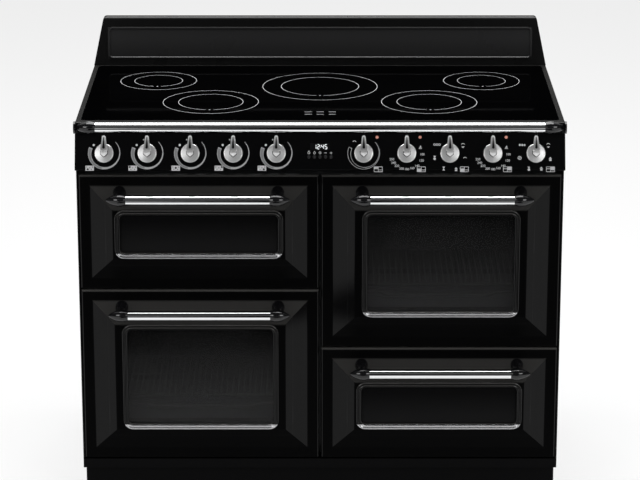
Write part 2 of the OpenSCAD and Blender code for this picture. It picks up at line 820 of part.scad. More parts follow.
module splashback() {
    y = rear_y - splash_d;
    lean_a = atan(splash_lean / splash_h);
    field_w = body_w - 2 * splash_field_side;
    field_mid = splash_field_low + splash_field_h / 2;
    color("#101012") {
        difference() {
            splash_solid(y, 0);
            splash_solid(y, skin_t);
        }
        // Raised field with a half-round bead along its edge
        translate([0, y + splash_lean * field_mid / splash_h, hob_z + field_mid])
            rotate([90 - lean_a, 0, 0]) {
                translate([0, 0, -skin_t / 2]) linear_extrude(skin_t)
                    soft_rect(field_w, splash_field_h, 12);
                ring(field_w - splash_bead, splash_field_h - splash_bead, 12 - splash_bead / 2)
                    half_round(splash_bead, splash_bead / 2 + 0.6);
            }
    }
}

// Half-round bead profile, w wide, with its foot just under the sheet's face
module half_round(w, h) {
    intersection() {
        translate([0, h - w / 2]) circle(d = w);
        translate([-w / 2, -skin_t / 2]) square([w, h + skin_t]);
    }
}

// The splashback's body drawn in by t all round, open at its foot and its back when t is over 0
module splash_solid(y, t) {
    r = splash_roll - t;
    open = t > 0 ? eps : 0;
    top_z = hob_z + splash_h - t;
    intersection() {
        translate([-half_w, 0, 0]) rotate([90, 0, 90]) linear_extrude(body_w) {
            polygon([[y + t, hob_z - open], [y + splash_lean + t, top_z - r],
                [rear_y + open, top_z - r], [rear_y + open, hob_z - open]]);
            translate([y + splash_lean + t + r, top_z - r]) circle(r = r);
            translate([y + splash_lean + t + r, top_z - r])
                square([splash_d - splash_lean - t - r + open, r]);
        }
        facing(0, rear_y + 2 * eps, 0) linear_extrude(splash_d + 4 * eps) {
            top = half_w - splash_side - t;
            foot = half_w - t;
            polygon(concat([[foot, hob_z - open]],
                rounded([foot, hob_z], [top, top_z], [0, top_z], splash_r),
                rounded([0, top_z], [-top, top_z], [-foot, hob_z], splash_r),
                [[-foot, hob_z - open]]));
        }
    }
}

module front_rail() {
    foot_w = 11;
    translate([0, rail_y, rail_z]) {
        color("#d8dadd") bar(2 * rail_half);
        color("#121214") both_sides() translate([rail_half + finial_play, 0, 0]) finial();
    }
    // End brackets: a plate with a rounded nose and a foot against the worktop's front
    color("#17171a") both_sides() {
        translate([half_w - bracket_t, rail_y, rail_z]) rotate([0, 90, 0])
            cylinder(d = bracket_h, h = bracket_t);
        block([half_w - bracket_t, rail_y, rail_z - bracket_h / 2],
            [half_w, front_y, rail_z + rail_drop]);
        block([half_w - foot_w, front_y - 2, rail_z - bracket_h / 2],
            [half_w, front_y, hob_z - worktop_edge_r]);
    }
}

// ---- Control panel ----

// Edge-on outline of the panel drawn in by t; its back stays open
function fascia_outline(t) =
    let (back = chassis_y + (t > 0 ? eps : 0), grow = t / cos(fascia_a), slip = t * tan(fascia_a))
    let (foot = [fascia_foot_y + slip + grow, fascia_z + t])
    let (head = [front_y - fascia_set - slip + grow, deck_z - t])
    concat([[back, fascia_z + t]], rounded([back, fascia_z + t], foot, head, fascia_r - t),
        [head, [back, deck_z - t]]);

module control_panel() {
    color("#0c0c0d") difference() {
        translate([-half_w, 0, 0]) rotate([90, 0, 90]) linear_extrude(body_w)
            polygon(fascia_outline(0));
        translate([-inner_w, 0, 0]) rotate([90, 0, 90]) linear_extrude(2 * inner_w)
            polygon(fascia_outline(skin_t));
        for (x = knob_xs) on_fascia(x, knob_v)
            translate([0, 0, -2 * skin_t]) cylinder(d = spindle_d + 3, h = 3 * skin_t);
        for (x = button_xs) on_fascia(x, knob_v - button_down)
            translate([0, 0, -2 * skin_t]) cylinder(d = button_d + 0.4, h = 3 * skin_t);
        for (x = lamp_xs) on_fascia(x, knob_v + lamp_up)
            translate([0, 0, -2 * skin_t]) cylinder(d = lamp_d - 1.6, h = 3 * skin_t);
        on_fascia(0, knob_v + display_up) translate([0, 0, -2 * skin_t])
            linear_extrude(3 * skin_t) soft_rect(display_w, display_h, 2);
    }
}

module timer_display() {
    body_top = -skin_t - button_collar - button_travel - 0.8;
    legs = 2.5 * button_pitch + 4;
    low_v = knob_v - button_down - 8;
    high_v = knob_v + display_up + display_h / 2 + 3;
    color("#08080a") on_fascia(0, 0) {
        // Window, flush in its cut-out, on a block that stands on the module
        translate([0, knob_v + display_up, body_top - eps]) linear_extrude(0.2 - body_top + eps)
            soft_rect(display_w - 0.4, display_h - 0.4, 1.8);
        difference() {
            block([-legs, low_v, body_top - 14], [legs, high_v, body_top]);
            for (x = button_xs) translate([x, knob_v - button_down, body_top - 8])
                cylinder(d = button_d / 2 + 0.4, h = 9);
        }
        // Legs that rest against the back of the panel
        both_sides() block([legs - 4, low_v, body_top - eps], [legs, high_v, -skin_t]);
    }
}

module timer_button(i) {
    color("#2a2a2d") on_fascia(button_xs[i], knob_v - button_down) {
        translate([0, 0, -skin_t - 1])
            cylinder(d = button_d, h = skin_t + 1 + button_h - button_dish);
        // Slightly dished top with a turned edge
        translate([0, 0, button_h - button_dish]) rotate_extrude()
            polygon([[0, 0], [button_d / 2, 0], [button_d / 2 - 0.7, button_dish],
                [button_d / 2 - 1.6, button_dish], [0, button_dish / 2]]);
        translate([0, 0, -skin_t - button_collar]) cylinder(d = button_d + 1.8, h = button_collar - 0.3);
        translate([0, 0, -skin_t - 6.6]) cylinder(d = button_d / 2, h = 6);
    }
}

module indicator_lenses() {
    color("#c2301c") for (x = lamp_xs) on_fascia(x, knob_v + lamp_up) {
        intersection() {
            cylinder(d = lamp_d, h = 2);
            translate([0, 0, 1.6 - lamp_d]) sphere(r = lamp_d);
        }
        translate([0, 0, -skin_t - 5]) cylinder(d = lamp_d - 2, h = skin_t + 5 + eps);
    }
}

module knob_switches() {
    color("#d9d5c8") for (x = knob_xs) on_fascia(x, knob_v) difference() {
        union() {
            translate([0, 0, -skin_t - switch_d / 2])
                cube([switch_w, switch_w, switch_d], center = true);
            // Spade terminals
            for (s = [-1, 1]) translate([s * switch_w / 4, 0, -skin_t - switch_d - 4])
                cube([1, 6, 8 + eps], center = true);
        }
        translate([0, 0, -spindle_l - eps])
            cylinder(r = spindle_d / 2 + spindle_play, h = spindle_l + eps);
    }
}

// Lever knob: round skirt, raised lever with a shield-shaped root, slot, and spindle
module knob(i) {
    r = knob_d / 2;
    tip_r = lever_tip_w / 2;
    root = 9;
    color("#b9bbbd") on_fascia(knob_xs[i], knob_v) {
        rotate_extrude() polygon(concat([[0, knob_gap], [r, knob_gap]],
            rounded([r, knob_gap], [r, knob_skirt_h - 2], [0, knob_skirt_h], 2.5),
            [[0, knob_skirt_h]]));
        difference() {
            intersection() {
                translate([0, 0, knob_gap + 4]) linear_extrude(lever_h) {
                    polygon([[0, -root], [lever_w / 2, 2 - root / 2], [lever_w / 2, 6],
                        [tip_r, lever_l - tip_r], [-tip_r, lever_l - tip_r],
                        [-lever_w / 2, 6], [-lever_w / 2, 2 - root / 2]]);
                    translate([0, lever_l - tip_r]) circle(r = tip_r);
                }
                translate([-lever_w, 0, 0]) rotate([90, 0, 90]) linear_extrude(2 * lever_w)
                    polygon(concat([[-root - 1, knob_gap + 4], [-root, knob_skirt_h + 3]],
                        rounded([-root, knob_skirt_h + 3], [2, lever_h], [lever_l, lever_h - 8], 10),
                        [[lever_l, lever_h - 8], [lever_l + 1, knob_gap + 4]]));
            }
            // Slot for the dark inlay
            translate([-1.5, 0, 0]) rotate([90, 0, 90]) linear_extrude(3)
                polygon([[14, lever_h + 2], [14, lever_h - 4.2],
                    [lever_l - 6, lever_h - 8.5], [lever_l - 6, lever_h + 2]]);
        }
        translate([0, 0, -spindle_l]) cylinder(d = spindle_d, h = spindle_l + knob_gap + eps);
    }
}

// ---- Oven cavities ----

module cavity(oven, has_fan) {
    color("#2c2d31") difference() {
        facing(oven[0], wall_y + cavity_t, oven[1] + oven[2] / 2) {
            linear_extrude(cavity_d + cavity_t) mouth(oven, cavity_t);
            translate([0, 0, cavity_d]) linear_extrude(cavity_t) mouth(oven, flange_w);
        }
        facing(oven[0], wall_y, oven[1] + oven[2] / 2) {
            linear_extrude(cavity_d + eps) mouth(oven);
            if (has_fan) {
                translate([0, 0, -2 * cavity_t]) cylinder(d = shaft_d + 6, h = 4 * cavity_t);
                for (x = [-ring_tail_x, ring_tail_x]) translate([x, -ring_d / 2, -2 * cavity_t])
                    cylinder(d = element_d + 0.5, h = 4 * cavity_t);
            }
        }
        for (x = [-element_x, element_x])
            translate([oven[0] + x, wall_y - eps, oven[1] + oven[2] - element_drop]) rotate([-90, 0, 0])
                cylinder(d = element_d + 0.5, h = cavity_t + 2 * eps);
    }
}

module door_seals() {
    color("#2a2a2a") for (oven = [main_oven, second_oven, grill_oven])
        facing(oven[0], chassis_y, oven[1] + oven[2] / 2) linear_extrude(seal_t) difference() {
            mouth(oven, seal_off + seal_w);
            mouth(oven, seal_off);
        }
}

// Wire ladders on both side walls, each rail a pair of rods that a shelf slides between
module shelf_supports() {
    guard = 16;
    ys = [plate_y + 50, wall_y - 70];
    color("#c3c5c8") for (oven = [main_oven, second_oven, grill_oven]) {
        levels = floor((oven[2] - rail_low - guard - 30) / rail_pitch);
        for (side = [0, 1]) translate([oven[0], 0, oven[1]]) mirror([side, 0, 0]) {
            for (y = ys) {
                rod([ladder_x, y, rail_low - 8],
                    [ladder_x, y, rail_low + levels * rail_pitch + guard + 6], rod_d);
                for (z = [rail_low + 6, rail_low + levels * rail_pitch + 8])
                    rod([ladder_x, y, z], [cavity_w / 2, y, z], rod_d + 1);
            }
            for (i = [0:levels], z = [0, guard])
                rod([rung_x, plate_y + 22, rail_low + i * rail_pitch + z],
                    [rung_x, wall_y - 46, rail_low + i * rail_pitch + z], rod_d);
        }
    }
}

// Wire shelf: a rod frame whose front bar dips in the middle, with thin wires from front to back
module wire_shelf(oven, level) {
    z = rail_low + level * rail_pitch + (rod_d + shelf_rod_d) / 2 + 0.2;
    y0 = plate_y + 16;
    y1 = wall_y - 52;
    y2 = y0 + 58;
    dip = 7;
    bend = shelf_half * 0.62;
    count = floor(2 * (shelf_half - 8) / wire_pitch);
    translate([oven[0], 0, oven[1] + z]) {
        for (y = [y2, y1])
            rod([-shelf_half, y, 0], [shelf_half, y, 0], shelf_rod_d);
        rod([8 - bend, y0, -dip], [bend - 8, y0, -dip], shelf_rod_d);
        both_sides() {
            rod([shelf_half, y0, 0], [shelf_half, y1, 0], shelf_rod_d);
            rod([bend + 8, y0, 0], [shelf_half, y0, 0], shelf_rod_d);
            rod([bend - 8, y0, -dip], [bend + 8, y0, 0], shelf_rod_d);
            for (p = [[shelf_half, y0, 0], [shelf_half, y1, 0], [bend + 8, y0, 0], [bend - 8, y0, -dip]])
                translate(p) sphere(d = shelf_rod_d);
        }
        for (i = [0:count])
            rod([(i - count / 2) * wire_pitch, y2, 2], [(i - count / 2) * wire_pitch, y1, 2], wire_d);
    }
}

// Enamelled baking tray that hangs by its rim on a pair of rails
module baking_tray(oven, level) {
    z = rail_low + level * rail_pitch + rod_d / 2 + 0.2;
    y0 = plate_y + 30;
    y1 = wall_y - 60;
    w = 2 * (ladder_x - rod_d / 2 - 1);
    inner = 2 * (rung_x - rod_d / 2 - 1);
    translate([oven[0], (y0 + y1) / 2, oven[1] + z]) difference() {
        union() {
            linear_extrude(tray_t) soft_rect(w, y1 - y0, 10);
            translate([0, 0, -tray_h]) linear_extrude(tray_h + 0.6) soft_rect(inner, y1 - y0 - 12, 14);
        }
        translate([0, 0, tray_t - tray_h]) linear_extrude(tray_h + 2)
            soft_rect(inner - 2 * tray_t, y1 - y0 - 12 - 2 * tray_t, 14 - tray_t);
    }
}

module oven_shelves() {
    for (oven = [main_oven, second_oven]) {
        color("#c9cbce") wire_shelf(oven, 1);
        color("#1d1e22") baking_tray(oven, 0);
    }
    color("#c9cbce") wire_shelf(grill_oven, 1);
}

module fan_covers() {
    color("#33343a") for (oven = [main_oven, second_oven])
        facing(oven[0], wall_y, oven[1] + oven[2] / 2) difference() {
            linear_extrude(cover_d) soft_rect(cover_w, cover_h, 20);
            translate([0, 0, -eps]) linear_extrude(cover_d - cover_t + eps)
                soft_rect(cover_w - 2 * cover_t, cover_h - 2 * cover_t, 20 - cover_t);
            // Intake holes in two rings, and outlet slots at the corners
            for (n = [1, 2], a = [0:360 / (n * 8):359])
                rotate([0, 0, a]) translate([n * 20, 0, cover_d - 3]) cylinder(d = 9, h = 6);
            for (a = [45:90:315]) rotate([0, 0, a])
                translate([80, -20, cover_d - 3]) cube([7, 40, 6]);
            for (x = [-70:28:70])
                translate([x - 10, -cover_h / 2 - eps, cover_d / 2 - 4]) cube([20, cover_h + 2 * eps, 8]);
        }
}

// Tubular element: legs joined by U-bends, its two ends running back through the rear wall
module serpentine() {
    legs = 6;
    pitch = 2 * element_x / (legs - 1);
    y0 = plate_y + element_end;
    y1 = wall_y - element_end;
    for (i = [0:legs - 1]) {
        x = i * pitch - element_x;
        at_end = i == 0 || i == legs - 1;
        translate([x, y0, 0]) rotate([-90, 0, 0])
            cylinder(d = element_d, h = (at_end ? wall_y + cavity_t + element_tail : y1) - y0);
        if (i < legs - 1)
            translate([x + pitch / 2, i % 2 == 0 ? y0 : y1, 0])
                rotate([0, 0, i % 2 == 0 ? 180 : 0]) rotate_extrude(angle = 180)
                    translate([pitch / 2, 0]) circle(d = element_d);
    }
}

module heating_elements() {
    color("#6b6866") {
        for (oven = [main_oven, second_oven, grill_oven])
            translate([oven[0], 0, oven[1] + oven[2] - element_drop]) serpentine();
        // Ring elements round the fans
        for (oven = [main_oven, second_oven])
            facing(oven[0], fan_y, oven[1] + oven[2] / 2) {
                rotate_extrude() translate([ring_d / 2, 0]) circle(d = element_d);
                tail = cover_d / 2 + cavity_t + element_tail;
                for (x = [-ring_tail_x, ring_tail_x]) translate([x, -ring_d / 2, -tail])
                    cylinder(d = element_d, h = tail);
            }
    }
}

// Fan wheel: back plate, hub and curved blades, on the motor's shaft
module oven_fan(oven) {
    low = 0 - fan_w / 2;
    color("#a9abad") facing(oven[0], fan_y, oven[1] + oven[2] / 2) {
        translate([0, 0, low]) cylinder(d = fan_d, h = fan_plate_t);
        translate([0, 0, low]) cylinder(d = hub_d, h = fan_w);
        for (i = [0:fan_blades - 1]) rotate([0, 0, i * 360 / fan_blades])
            translate([0, 0, low]) linear_extrude(fan_w) intersection() {
                difference() {
                    translate([fan_d / 4, fan_d / 4]) circle(r = fan_d / 4 + 1);
                    translate([fan_d / 4, fan_d / 4]) circle(r = fan_d / 4 - 0.2);
                }
                translate([hub_d / 2 - 2, -2]) square([fan_d / 2 - hub_d / 2 - 3, fan_d / 4]);
            }
        translate([0, 0, fan_y - motor_y - shaft_in]) cylinder(d = shaft_d, h = motor_y + shaft_in - fan_y);
    }
}

module fan_motors() {
    color("#77797c") for (oven = [main_oven, second_oven])
        facing(oven[0], motor_y, oven[1] + oven[2] / 2) {
            difference() {
                union() {
                    translate([0, 0, -motor_l]) cylinder(d = motor_d, h = motor_l);
                    translate([0, 0, -motor_l / 2 - 9]) cube([motor_d + 22, motor_d + 6, 18], center = true);
                }
                translate([0, 0, -shaft_in - 4])
                    cylinder(r = shaft_d / 2 + spindle_play, h = shaft_in + 4 + eps);
            }
            // Legs to the cavity's rear wall
            for (a = [30:120:270]) rotate([0, 0, a])
                translate([motor_d / 2 - 7, 0, -eps]) cylinder(d = 8, h = motor_gap + eps);
        }
}

// ---- Doors ----

// Edge-on outline of a pressed pan of length l: flange, rounded edge, border and raised centre
module pan_profile(l, depth, edge, border) {
    foot = [border, 0];
    crest = [border + slope_w, -rise];
    far_crest = [l - border - slope_w, -rise];
    far_foot = [l - border, 0];
    translate([edge, 0]) square([l - 2 * edge, depth]);
    translate([0, edge]) square([l, depth - edge]);
    for (u = [edge, l - edge])
        translate([u, edge]) circle(r = edge);
    polygon(concat([[edge + 1, edge], [edge + 1, 0]],
        rounded([edge, 0], foot, crest, crease_r),
        rounded(foot, crest, far_crest, crease_r),
        rounded(crest, far_crest, far_foot, crease_r),
        rounded(far_crest, far_foot, [l - edge, 0], crease_r),
        [[l - edge - 1, 0], [l - edge - 1, edge]]));
}

// The pan's block drawn in by t, its lower left corner at the origin and its border face at y = t
module pan_block(h, t) {
    intersection() {
        translate([t, t, t]) linear_extrude(h - 2 * t)
            pan_profile(door_w - 2 * t, pan_t, pan_edge_r - t, border_w - t);
        translate([door_w - t, t, t]) rotate([0, -90, 0]) linear_extrude(door_w - 2 * t)
            pan_profile(h - 2 * t, pan_t, pan_edge_r - t, border_w - t);
    }
}

// Two half-rounds side by side, their foot inside the sheet
module bead_profile() {
    lobe = bead_w / 4;
    intersection() {
        for (x = [-lobe, lobe])
            translate([x, bead_h - lobe - 0.4]) circle(r = lobe + 0.4);
        translate([-bead_w / 2, -skin_t / 2]) square([bead_w, bead_h + skin_t]);
    }
}

// Clearance cut for the two fixed hinge arms, over the door's whole swing
module arm_cuts() {
    for (x = [hinge_side, door_w - hinge_side])
        block([x - arm_w / 2 - 1.5, pivot_in - arm_h / 2 - 1, -eps],
            [x + arm_w / 2 + 1.5, door_t + eps, pivot_in + arm_h / 2 + 1]);
}

// Pressed front of a door or of the drawer
module front_pan(h, side, window, hinged) {
    w = door_w - 2 * side;
    field = [w - 2 * bead_w, h - 2 * (bead_top + bead_w)];
    difference() {
        union() {
            difference() {
                pan_block(h, 0);
                pan_block(h, skin_t);
            }
            facing(door_w / 2, -rise, h / 2) {
                ring(w - bead_w, h - 2 * bead_top - bead_w, bead_r - bead_w / 2) bead_profile();
                // Turned-in edge of the window, or the pressed-in field
                translate([0, 0, -(window ? window_lip : field_d + skin_t)])
                    linear_extrude(window ? window_lip : field_d + skin_t)
                        soft_rect(field[0] + 2 * skin_t, field[1] + 2 * skin_t, open_r + skin_t);
            }
        }
        facing(door_w / 2, -rise, h / 2)
            translate([0, 0, window ? -2 * window_lip : -field_d])
                linear_extrude(2 * window_lip + rise) soft_rect(field[0], field[1], open_r);
        if (hinged) arm_cuts();
    }
}

// Steel liner behind a door's pan, a tray with its rim against the pan's flange
module door_liner(h, window) {
    w = door_w - 2 * liner_inset;
    tall = h - 2 * liner_inset;
    mid = h / 2;
    difference() {
        union() {
            facing(door_w / 2, door_t, mid) linear_extrude(door_t - pan_t + liner_t)
                soft_rect(w, tall, 14);
            block([skin_t, pan_t - liner_t, skin_t], [door_w - skin_t, pan_t, h - skin_t]);
        }
        facing(door_w / 2, door_t - liner_t, mid) linear_extrude(door_t)
            soft_rect(w - 2 * liner_t, tall - 2 * liner_t, 14 - liner_t);
        if (window)
            facing(door_w / 2, door_t + eps, mid) linear_extrude(liner_t + 2 * eps)
                soft_rect(w - 2 * liner_frame, tall - 2 * liner_frame, 10);
        arm_cuts();
    }
}

// Outer pane behind the pressed front, and inner pane inside the liner
module door_glass(h) {
    open = [door_w - 2 * (bead_side_tall + bead_w), h - 2 * (bead_top + bead_w)];
    inner = [door_w - 2 * (liner_inset + liner_frame), h - 2 * (liner_inset + liner_frame)];
    facing(door_w / 2, window_lip + pane_t - rise, h / 2)
        linear_extrude(pane_t)
            soft_rect(open[0] + 2 * pane_lap, open[1] + 2 * pane_lap, open_r + pane_lap);
    facing(door_w / 2, door_t - liner_t, h / 2)
        linear_extrude(pane_t) soft_rect(inner[0] + 2 * pane_lap, inner[1] + 2 * pane_lap, 12);
}

// Door half of the two hinges: fixing plate, cheeks beside the fixed arm, and the pin
module door_hinges() {
    cheek_in = arm_w / 2 + cheek_play;
    top = liner_inset - 0.3;
    back = pan_t - liner_t - 0.3;
    for (x = [hinge_side, door_w - hinge_side]) translate([x, 0, 0]) {
        block([-cheek_in - cheek_t, skin_t, pan_edge_r], [cheek_in + cheek_t, skin_t + 1.4, hinge_plate_h]);
        both_sides() block([cheek_in, skin_t, pan_edge_r], [cheek_in + cheek_t, back, top]);
        translate([-cheek_in - cheek_t, pivot_in, pivot_in]) rotate([0, 90, 0])
            cylinder(d = pin_d, h = 2 * (cheek_in + cheek_t));
    }
}

// Bar handle: chromed bar, black finials, and flared stand-offs seated on the sloping face
module door_handle(h) {
    foot_x = bar_l / 2 + finial_l * 0.4;
    z = h - handle_drop;
    translate([door_w / 2, -handle_out, z]) {
        color("#d8dadd") bar(bar_l);
        color("#121214") both_sides() translate([bar_l / 2 + finial_play, 0, 0]) finial();
    }
    color("#121214") difference() {
        for (x = [door_w / 2 - foot_x, door_w / 2 + foot_x]) translate([x, -handle_out, z]) {
            rotate([-90, 0, 0]) cylinder(d = standoff_d, h = handle_out);
            translate([0, handle_out - 20, 0]) rotate([-90, 0, 0])
                cylinder(d1 = standoff_d, d2 = standoff_foot_d, h = 20);
        }
        pan_block(h, 0);
    }
}

// Places a door's parts by its column and its lower edge
module at_door(x, z) {
    translate([x - door_w / 2, front_y, z]) children();
}

// Drawer box of flat sheets, spot-welded along their edges, with a runner on each side
module drawer_box() {
    near = drawer_t + weld_gap;
    side_in = drawer_half - drawer_t;
    color("#26272a") at_door(col_x, door_z) translate([0, pan_t, 0]) {
        // Plate that closes the drawer front's back and the box's front end
        block([skin_t, 0, skin_t], [door_w - skin_t, drawer_t, short_h - skin_t]);
        translate([door_w / 2, 0, drawer_low]) {
            block([-drawer_half, near, 0], [drawer_half, drawer_l, drawer_t]);
            block([weld_gap - side_in, drawer_l - drawer_t, near],
                [side_in - weld_gap, drawer_l, drawer_h]);
            both_sides() {
                block([side_in, near, near], [drawer_half, drawer_l, drawer_h]);
                block([drawer_half + weld_gap, door_t - pan_t, (drawer_h - runner_h) / 2],
                    [drawer_half + runner_w, drawer_l, (drawer_h + runner_h) / 2]);
            }
        }
    }
}

// ---- Connection ----

module terminal_box() {
    depth = back_recess - skin_t - 2;
    wall = 2;
    z0 = terminal_z;
    y0 = back_y + skin_t;
    color("#d4d3cf") {
        difference() {
            block([terminal_x - terminal_w / 2, y0, z0],
                [terminal_x + terminal_w / 2, y0 + depth, z0 + terminal_h]);
            block([terminal_x - terminal_w / 2 + wall, y0 - eps, z0 + wall],
                [terminal_x + terminal_w / 2 - wall, y0 + depth - wall, z0 + terminal_h - wall]);
            translate([terminal_x, y0 + depth / 2, z0 - eps]) cylinder(r = gland_r, h = wall + 2 * eps);
        }
        // Cable gland with a six-sided collar
        translate([terminal_x, y0 + depth / 2, z0 - gland_l]) difference() {
            union() {
                cylinder(r = gland_r + 2.2, h = gland_l);
                translate([0, 0, gland_l - 8]) cylinder(r = gland_r + 3.4, h = 8, $fn = 6);
            }
            translate([0, 0, -eps]) cylinder(r = gland_r, h = gland_l + 2 * eps);
        }
    }
}

// ---- Nodes ----

side_panels();
back_panel();
base_pan();
plinth();
feet();
chassis_frame();
worktop_frame();
hob_glass();
splashback();
front_rail();
control_panel();
timer_display();
indicator_lenses();
knob_switches();
cavity(main_oven, true);  // main_oven_cavity
cavity(second_oven, true);  // second_oven_cavity
cavity(grill_oven, false);  // grill_cavity
door_seals();
shelf_supports();
oven_shelves();
fan_covers();
heating_elements();
fan_motors();
induction_coils();
coil_tray();
terminal_box();
oven_fan(main_oven);  // main_oven_fan
oven_fan(second_oven);  // second_oven_fan
for (i = [0:9])
    knob(i);
for (i = [0:4])
    timer_button(i);
color("#0f0f10") at_door(-col_x, grill_z) front_pan(short_h, bead_side_short, false, true);  // grill_door_panel
color("#1a1b1e") at_door(-col_x, grill_z) door_liner(short_h, false);  // grill_door_liner
at_door(-col_x, grill_z) door_handle(short_h);  // grill_door_handle
color("#9a9c9f") at_door(-col_x, grill_z) door_hinges();  // grill_door_hinges
color("#0f0f10") at_door(-col_x, door_z) front_pan(tall_h, bead_side_tall, true, true);  // main_door_panel
color("#202428", 0.5) at_door(-col_x, door_z) door_glass(tall_h);  // main_door_glass
color("#1a1b1e") at_door(-col_x, door_z) door_liner(tall_h, true);  // main_door_liner
at_door(-col_x, door_z) door_handle(tall_h);  // main_door_handle
color("#9a9c9f") at_door(-col_x, door_z) door_hinges();  // main_door_hinges
color("#0f0f10") at_door(col_x, second_z) front_pan(tall_h, bead_side_tall, true, true);  // second_door_panel
color("#202428", 0.5) at_door(col_x, second_z) door_glass(tall_h);  // second_door_glass
color("#1a1b1e") at_door(col_x, second_z) door_liner(tall_h, true);  // second_door_liner
at_door(col_x, second_z) door_handle(tall_h);  // second_door_handle
color("#9a9c9f") at_door(col_x, second_z) door_hinges();  // second_door_hinges
color("#0f0f10") at_door(col_x, door_z) front_pan(short_h, bead_side_short, false, false);  // drawer_front
drawer_box();
at_door(col_x, door_z) door_handle(short_h);  // drawer_handle
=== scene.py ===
import math

import bmesh
import bpy
from mathutils import Matrix, Vector


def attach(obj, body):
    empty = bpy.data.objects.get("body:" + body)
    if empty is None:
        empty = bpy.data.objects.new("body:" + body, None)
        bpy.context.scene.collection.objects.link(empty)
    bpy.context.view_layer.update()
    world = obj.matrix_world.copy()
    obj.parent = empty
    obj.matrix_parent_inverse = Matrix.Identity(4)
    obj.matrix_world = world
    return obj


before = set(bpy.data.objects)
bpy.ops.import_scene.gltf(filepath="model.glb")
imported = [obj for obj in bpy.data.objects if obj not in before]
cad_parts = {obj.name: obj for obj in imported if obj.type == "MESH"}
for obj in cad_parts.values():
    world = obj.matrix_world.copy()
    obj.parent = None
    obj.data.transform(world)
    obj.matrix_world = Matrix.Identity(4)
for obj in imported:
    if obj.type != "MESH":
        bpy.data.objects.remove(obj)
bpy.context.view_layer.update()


# ---- Underside: base pan, plinth and feet ----
# The base pan and the plinth are steel sheet under black enamel, folded and screwed together.
# The feet are zinc-plated studs in moulded black sockets and pads, turned by hand to level the cooker.

def new_finish(name, colour, roughness, metallic=0.0, **sockets):
    """A material whose Principled BSDF holds what is the same all over the surface."""
    finish = bpy.data.materials.new(name)
    finish.use_nodes = True
    shader = finish.node_tree.nodes["Principled BSDF"]
    shader.inputs["Base Color"].default_value = (*colour, 1)
    shader.inputs["Roughness"].default_value = roughness
    shader.inputs["Metallic"].default_value = metallic
    for socket, value in sockets.items():
        shader.inputs[socket.replace("_", " ")].default_value = value
    return finish, shader


def new_effect(name, inputs, outputs):
    """An empty node group with named inputs and outputs, and its two end nodes."""
    effect = bpy.data.node_groups.new(name, "ShaderNodeTree")
    kinds = {1: "NodeSocketFloat", 3: "NodeSocketVector", 4: "NodeSocketColor"}
    for socket, value in inputs.items():
        kind = kinds[len(value) if isinstance(value, tuple) else 1]
        effect.interface.new_socket(socket, in_out="INPUT", socket_type=kind).default_value = value
    for socket, kind in outputs.items():
        effect.interface.new_socket(socket, in_out="OUTPUT", socket_type="NodeSocket" + kind)
    return effect, effect.nodes.new("NodeGroupInput"), effect.nodes.new("NodeGroupOutput")


def place_effect(finish, effect, **values):
    """Puts an effect into a material with that material's own values."""
    node = finish.node_tree.nodes.new("ShaderNodeGroup")
    node.node_tree = effect
    for socket, value in values.items():
        node.inputs[socket.replace("_", " ")].default_value = value
    return node


def join(tree, *pairs):
    """Links outputs to inputs."""
    for start, end in pairs:
        tree.links.new(start, end)


def feed(tree, socket, term):
    """Links an output to a socket, or sets the socket to a number or a colour."""
    if isinstance(term, bpy.types.NodeSocket):
        tree.links.new(term, socket)
    else:
        socket.default_value = (*term, 1) if isinstance(term, tuple) else term


def sum_node(tree, operation, *terms, clamp=False):
    """A Math node on numbers or outputs, and its result."""
    node = tree.nodes.new("ShaderNodeMath")
    node.operation = operation
    node.use_clamp = clamp
    for socket, term in zip(node.inputs, terms):
        feed(tree, socket, term)
    return node.outputs[0]


def mix_colours(tree, share, first, second):
    """A colour mix of two colours or outputs."""
    node = tree.nodes.new("ShaderNodeMix")
    node.data_type = "RGBA"
    for socket, term in zip((node.inputs[0], node.inputs[6], node.inputs[7]), (share, first, second)):
        feed(tree, socket, term)
    return node.outputs[2]


def noise(tree, place, grains, detail=2.0):
    """Noise with so many grains a metre."""
    node = tree.nodes.new("ShaderNodeTexNoise")
    tree.links.new(place, node.inputs["Vector"])
    feed(tree, node.inputs["Scale"], grains)
    node.inputs["Detail"].default_value = detail
    return node.outputs["Fac"]


def own_place(tree):
    """Each point's place in the cooker."""
    return tree.nodes.new("ShaderNodeTexCoord").outputs["Object"]


def split(tree, vector):
    """The X, Y and Z of a vector."""
    node = tree.nodes.new("ShaderNodeSeparateXYZ")
    tree.links.new(vector, node.inputs[0])
    return node.outputs


def facing(tree):
    """Which way each face turns."""
    return split(tree, tree.nodes.new("ShaderNodeNewGeometry").outputs["Normal"])


# Fused glass on sheet: it dries in long soft ripples, varies a little in tone, and a pale grey is laid on what
# faces up: a faint dusting at small values, painted light at large ones
cloud_grains = 7.0
dust_and_light_grey = (0.45, 0.44, 0.42)
enamel_gloss_spread = 0.08
fired_enamel, ends, out = new_effect(
    "fired_enamel",
    {"Colour": (0.0, 0.0, 0.0, 1.0), "Roughness": 0.2, "Grains": 55.0, "Mottle": 0.2, "Dust": 0.004},
    {"Colour": "Color", "Roughness": "Float", "Height": "Float"})
spot = own_place(fired_enamel)
cloud = noise(fired_enamel, spot, cloud_grains, 4.0)
tone = sum_node(fired_enamel, "MULTIPLY", ends.outputs["Mottle"], cloud)
darker = mix_colours(fired_enamel, tone, ends.outputs["Colour"], (0.0, 0.0, 0.0))
# Pale grey on up-facing faces: a faint dusting at small values, painted light at large ones
upward = sum_node(fired_enamel, "MAXIMUM", facing(fired_enamel)["Z"], 0.0)
dust_and_painted_light = sum_node(fired_enamel, "MULTIPLY", upward, ends.outputs["Dust"])
gloss = sum_node(fired_enamel, "MULTIPLY_ADD", cloud, enamel_gloss_spread, ends.outputs["Roughness"])
join(fired_enamel,
     (mix_colours(fired_enamel, dust_and_painted_light, darker, dust_and_light_grey), out.inputs["Colour"]),
     (gloss, out.inputs["Roughness"]),
     (noise(fired_enamel, spot, ends.outputs["Grains"]), out.inputs["Height"]))


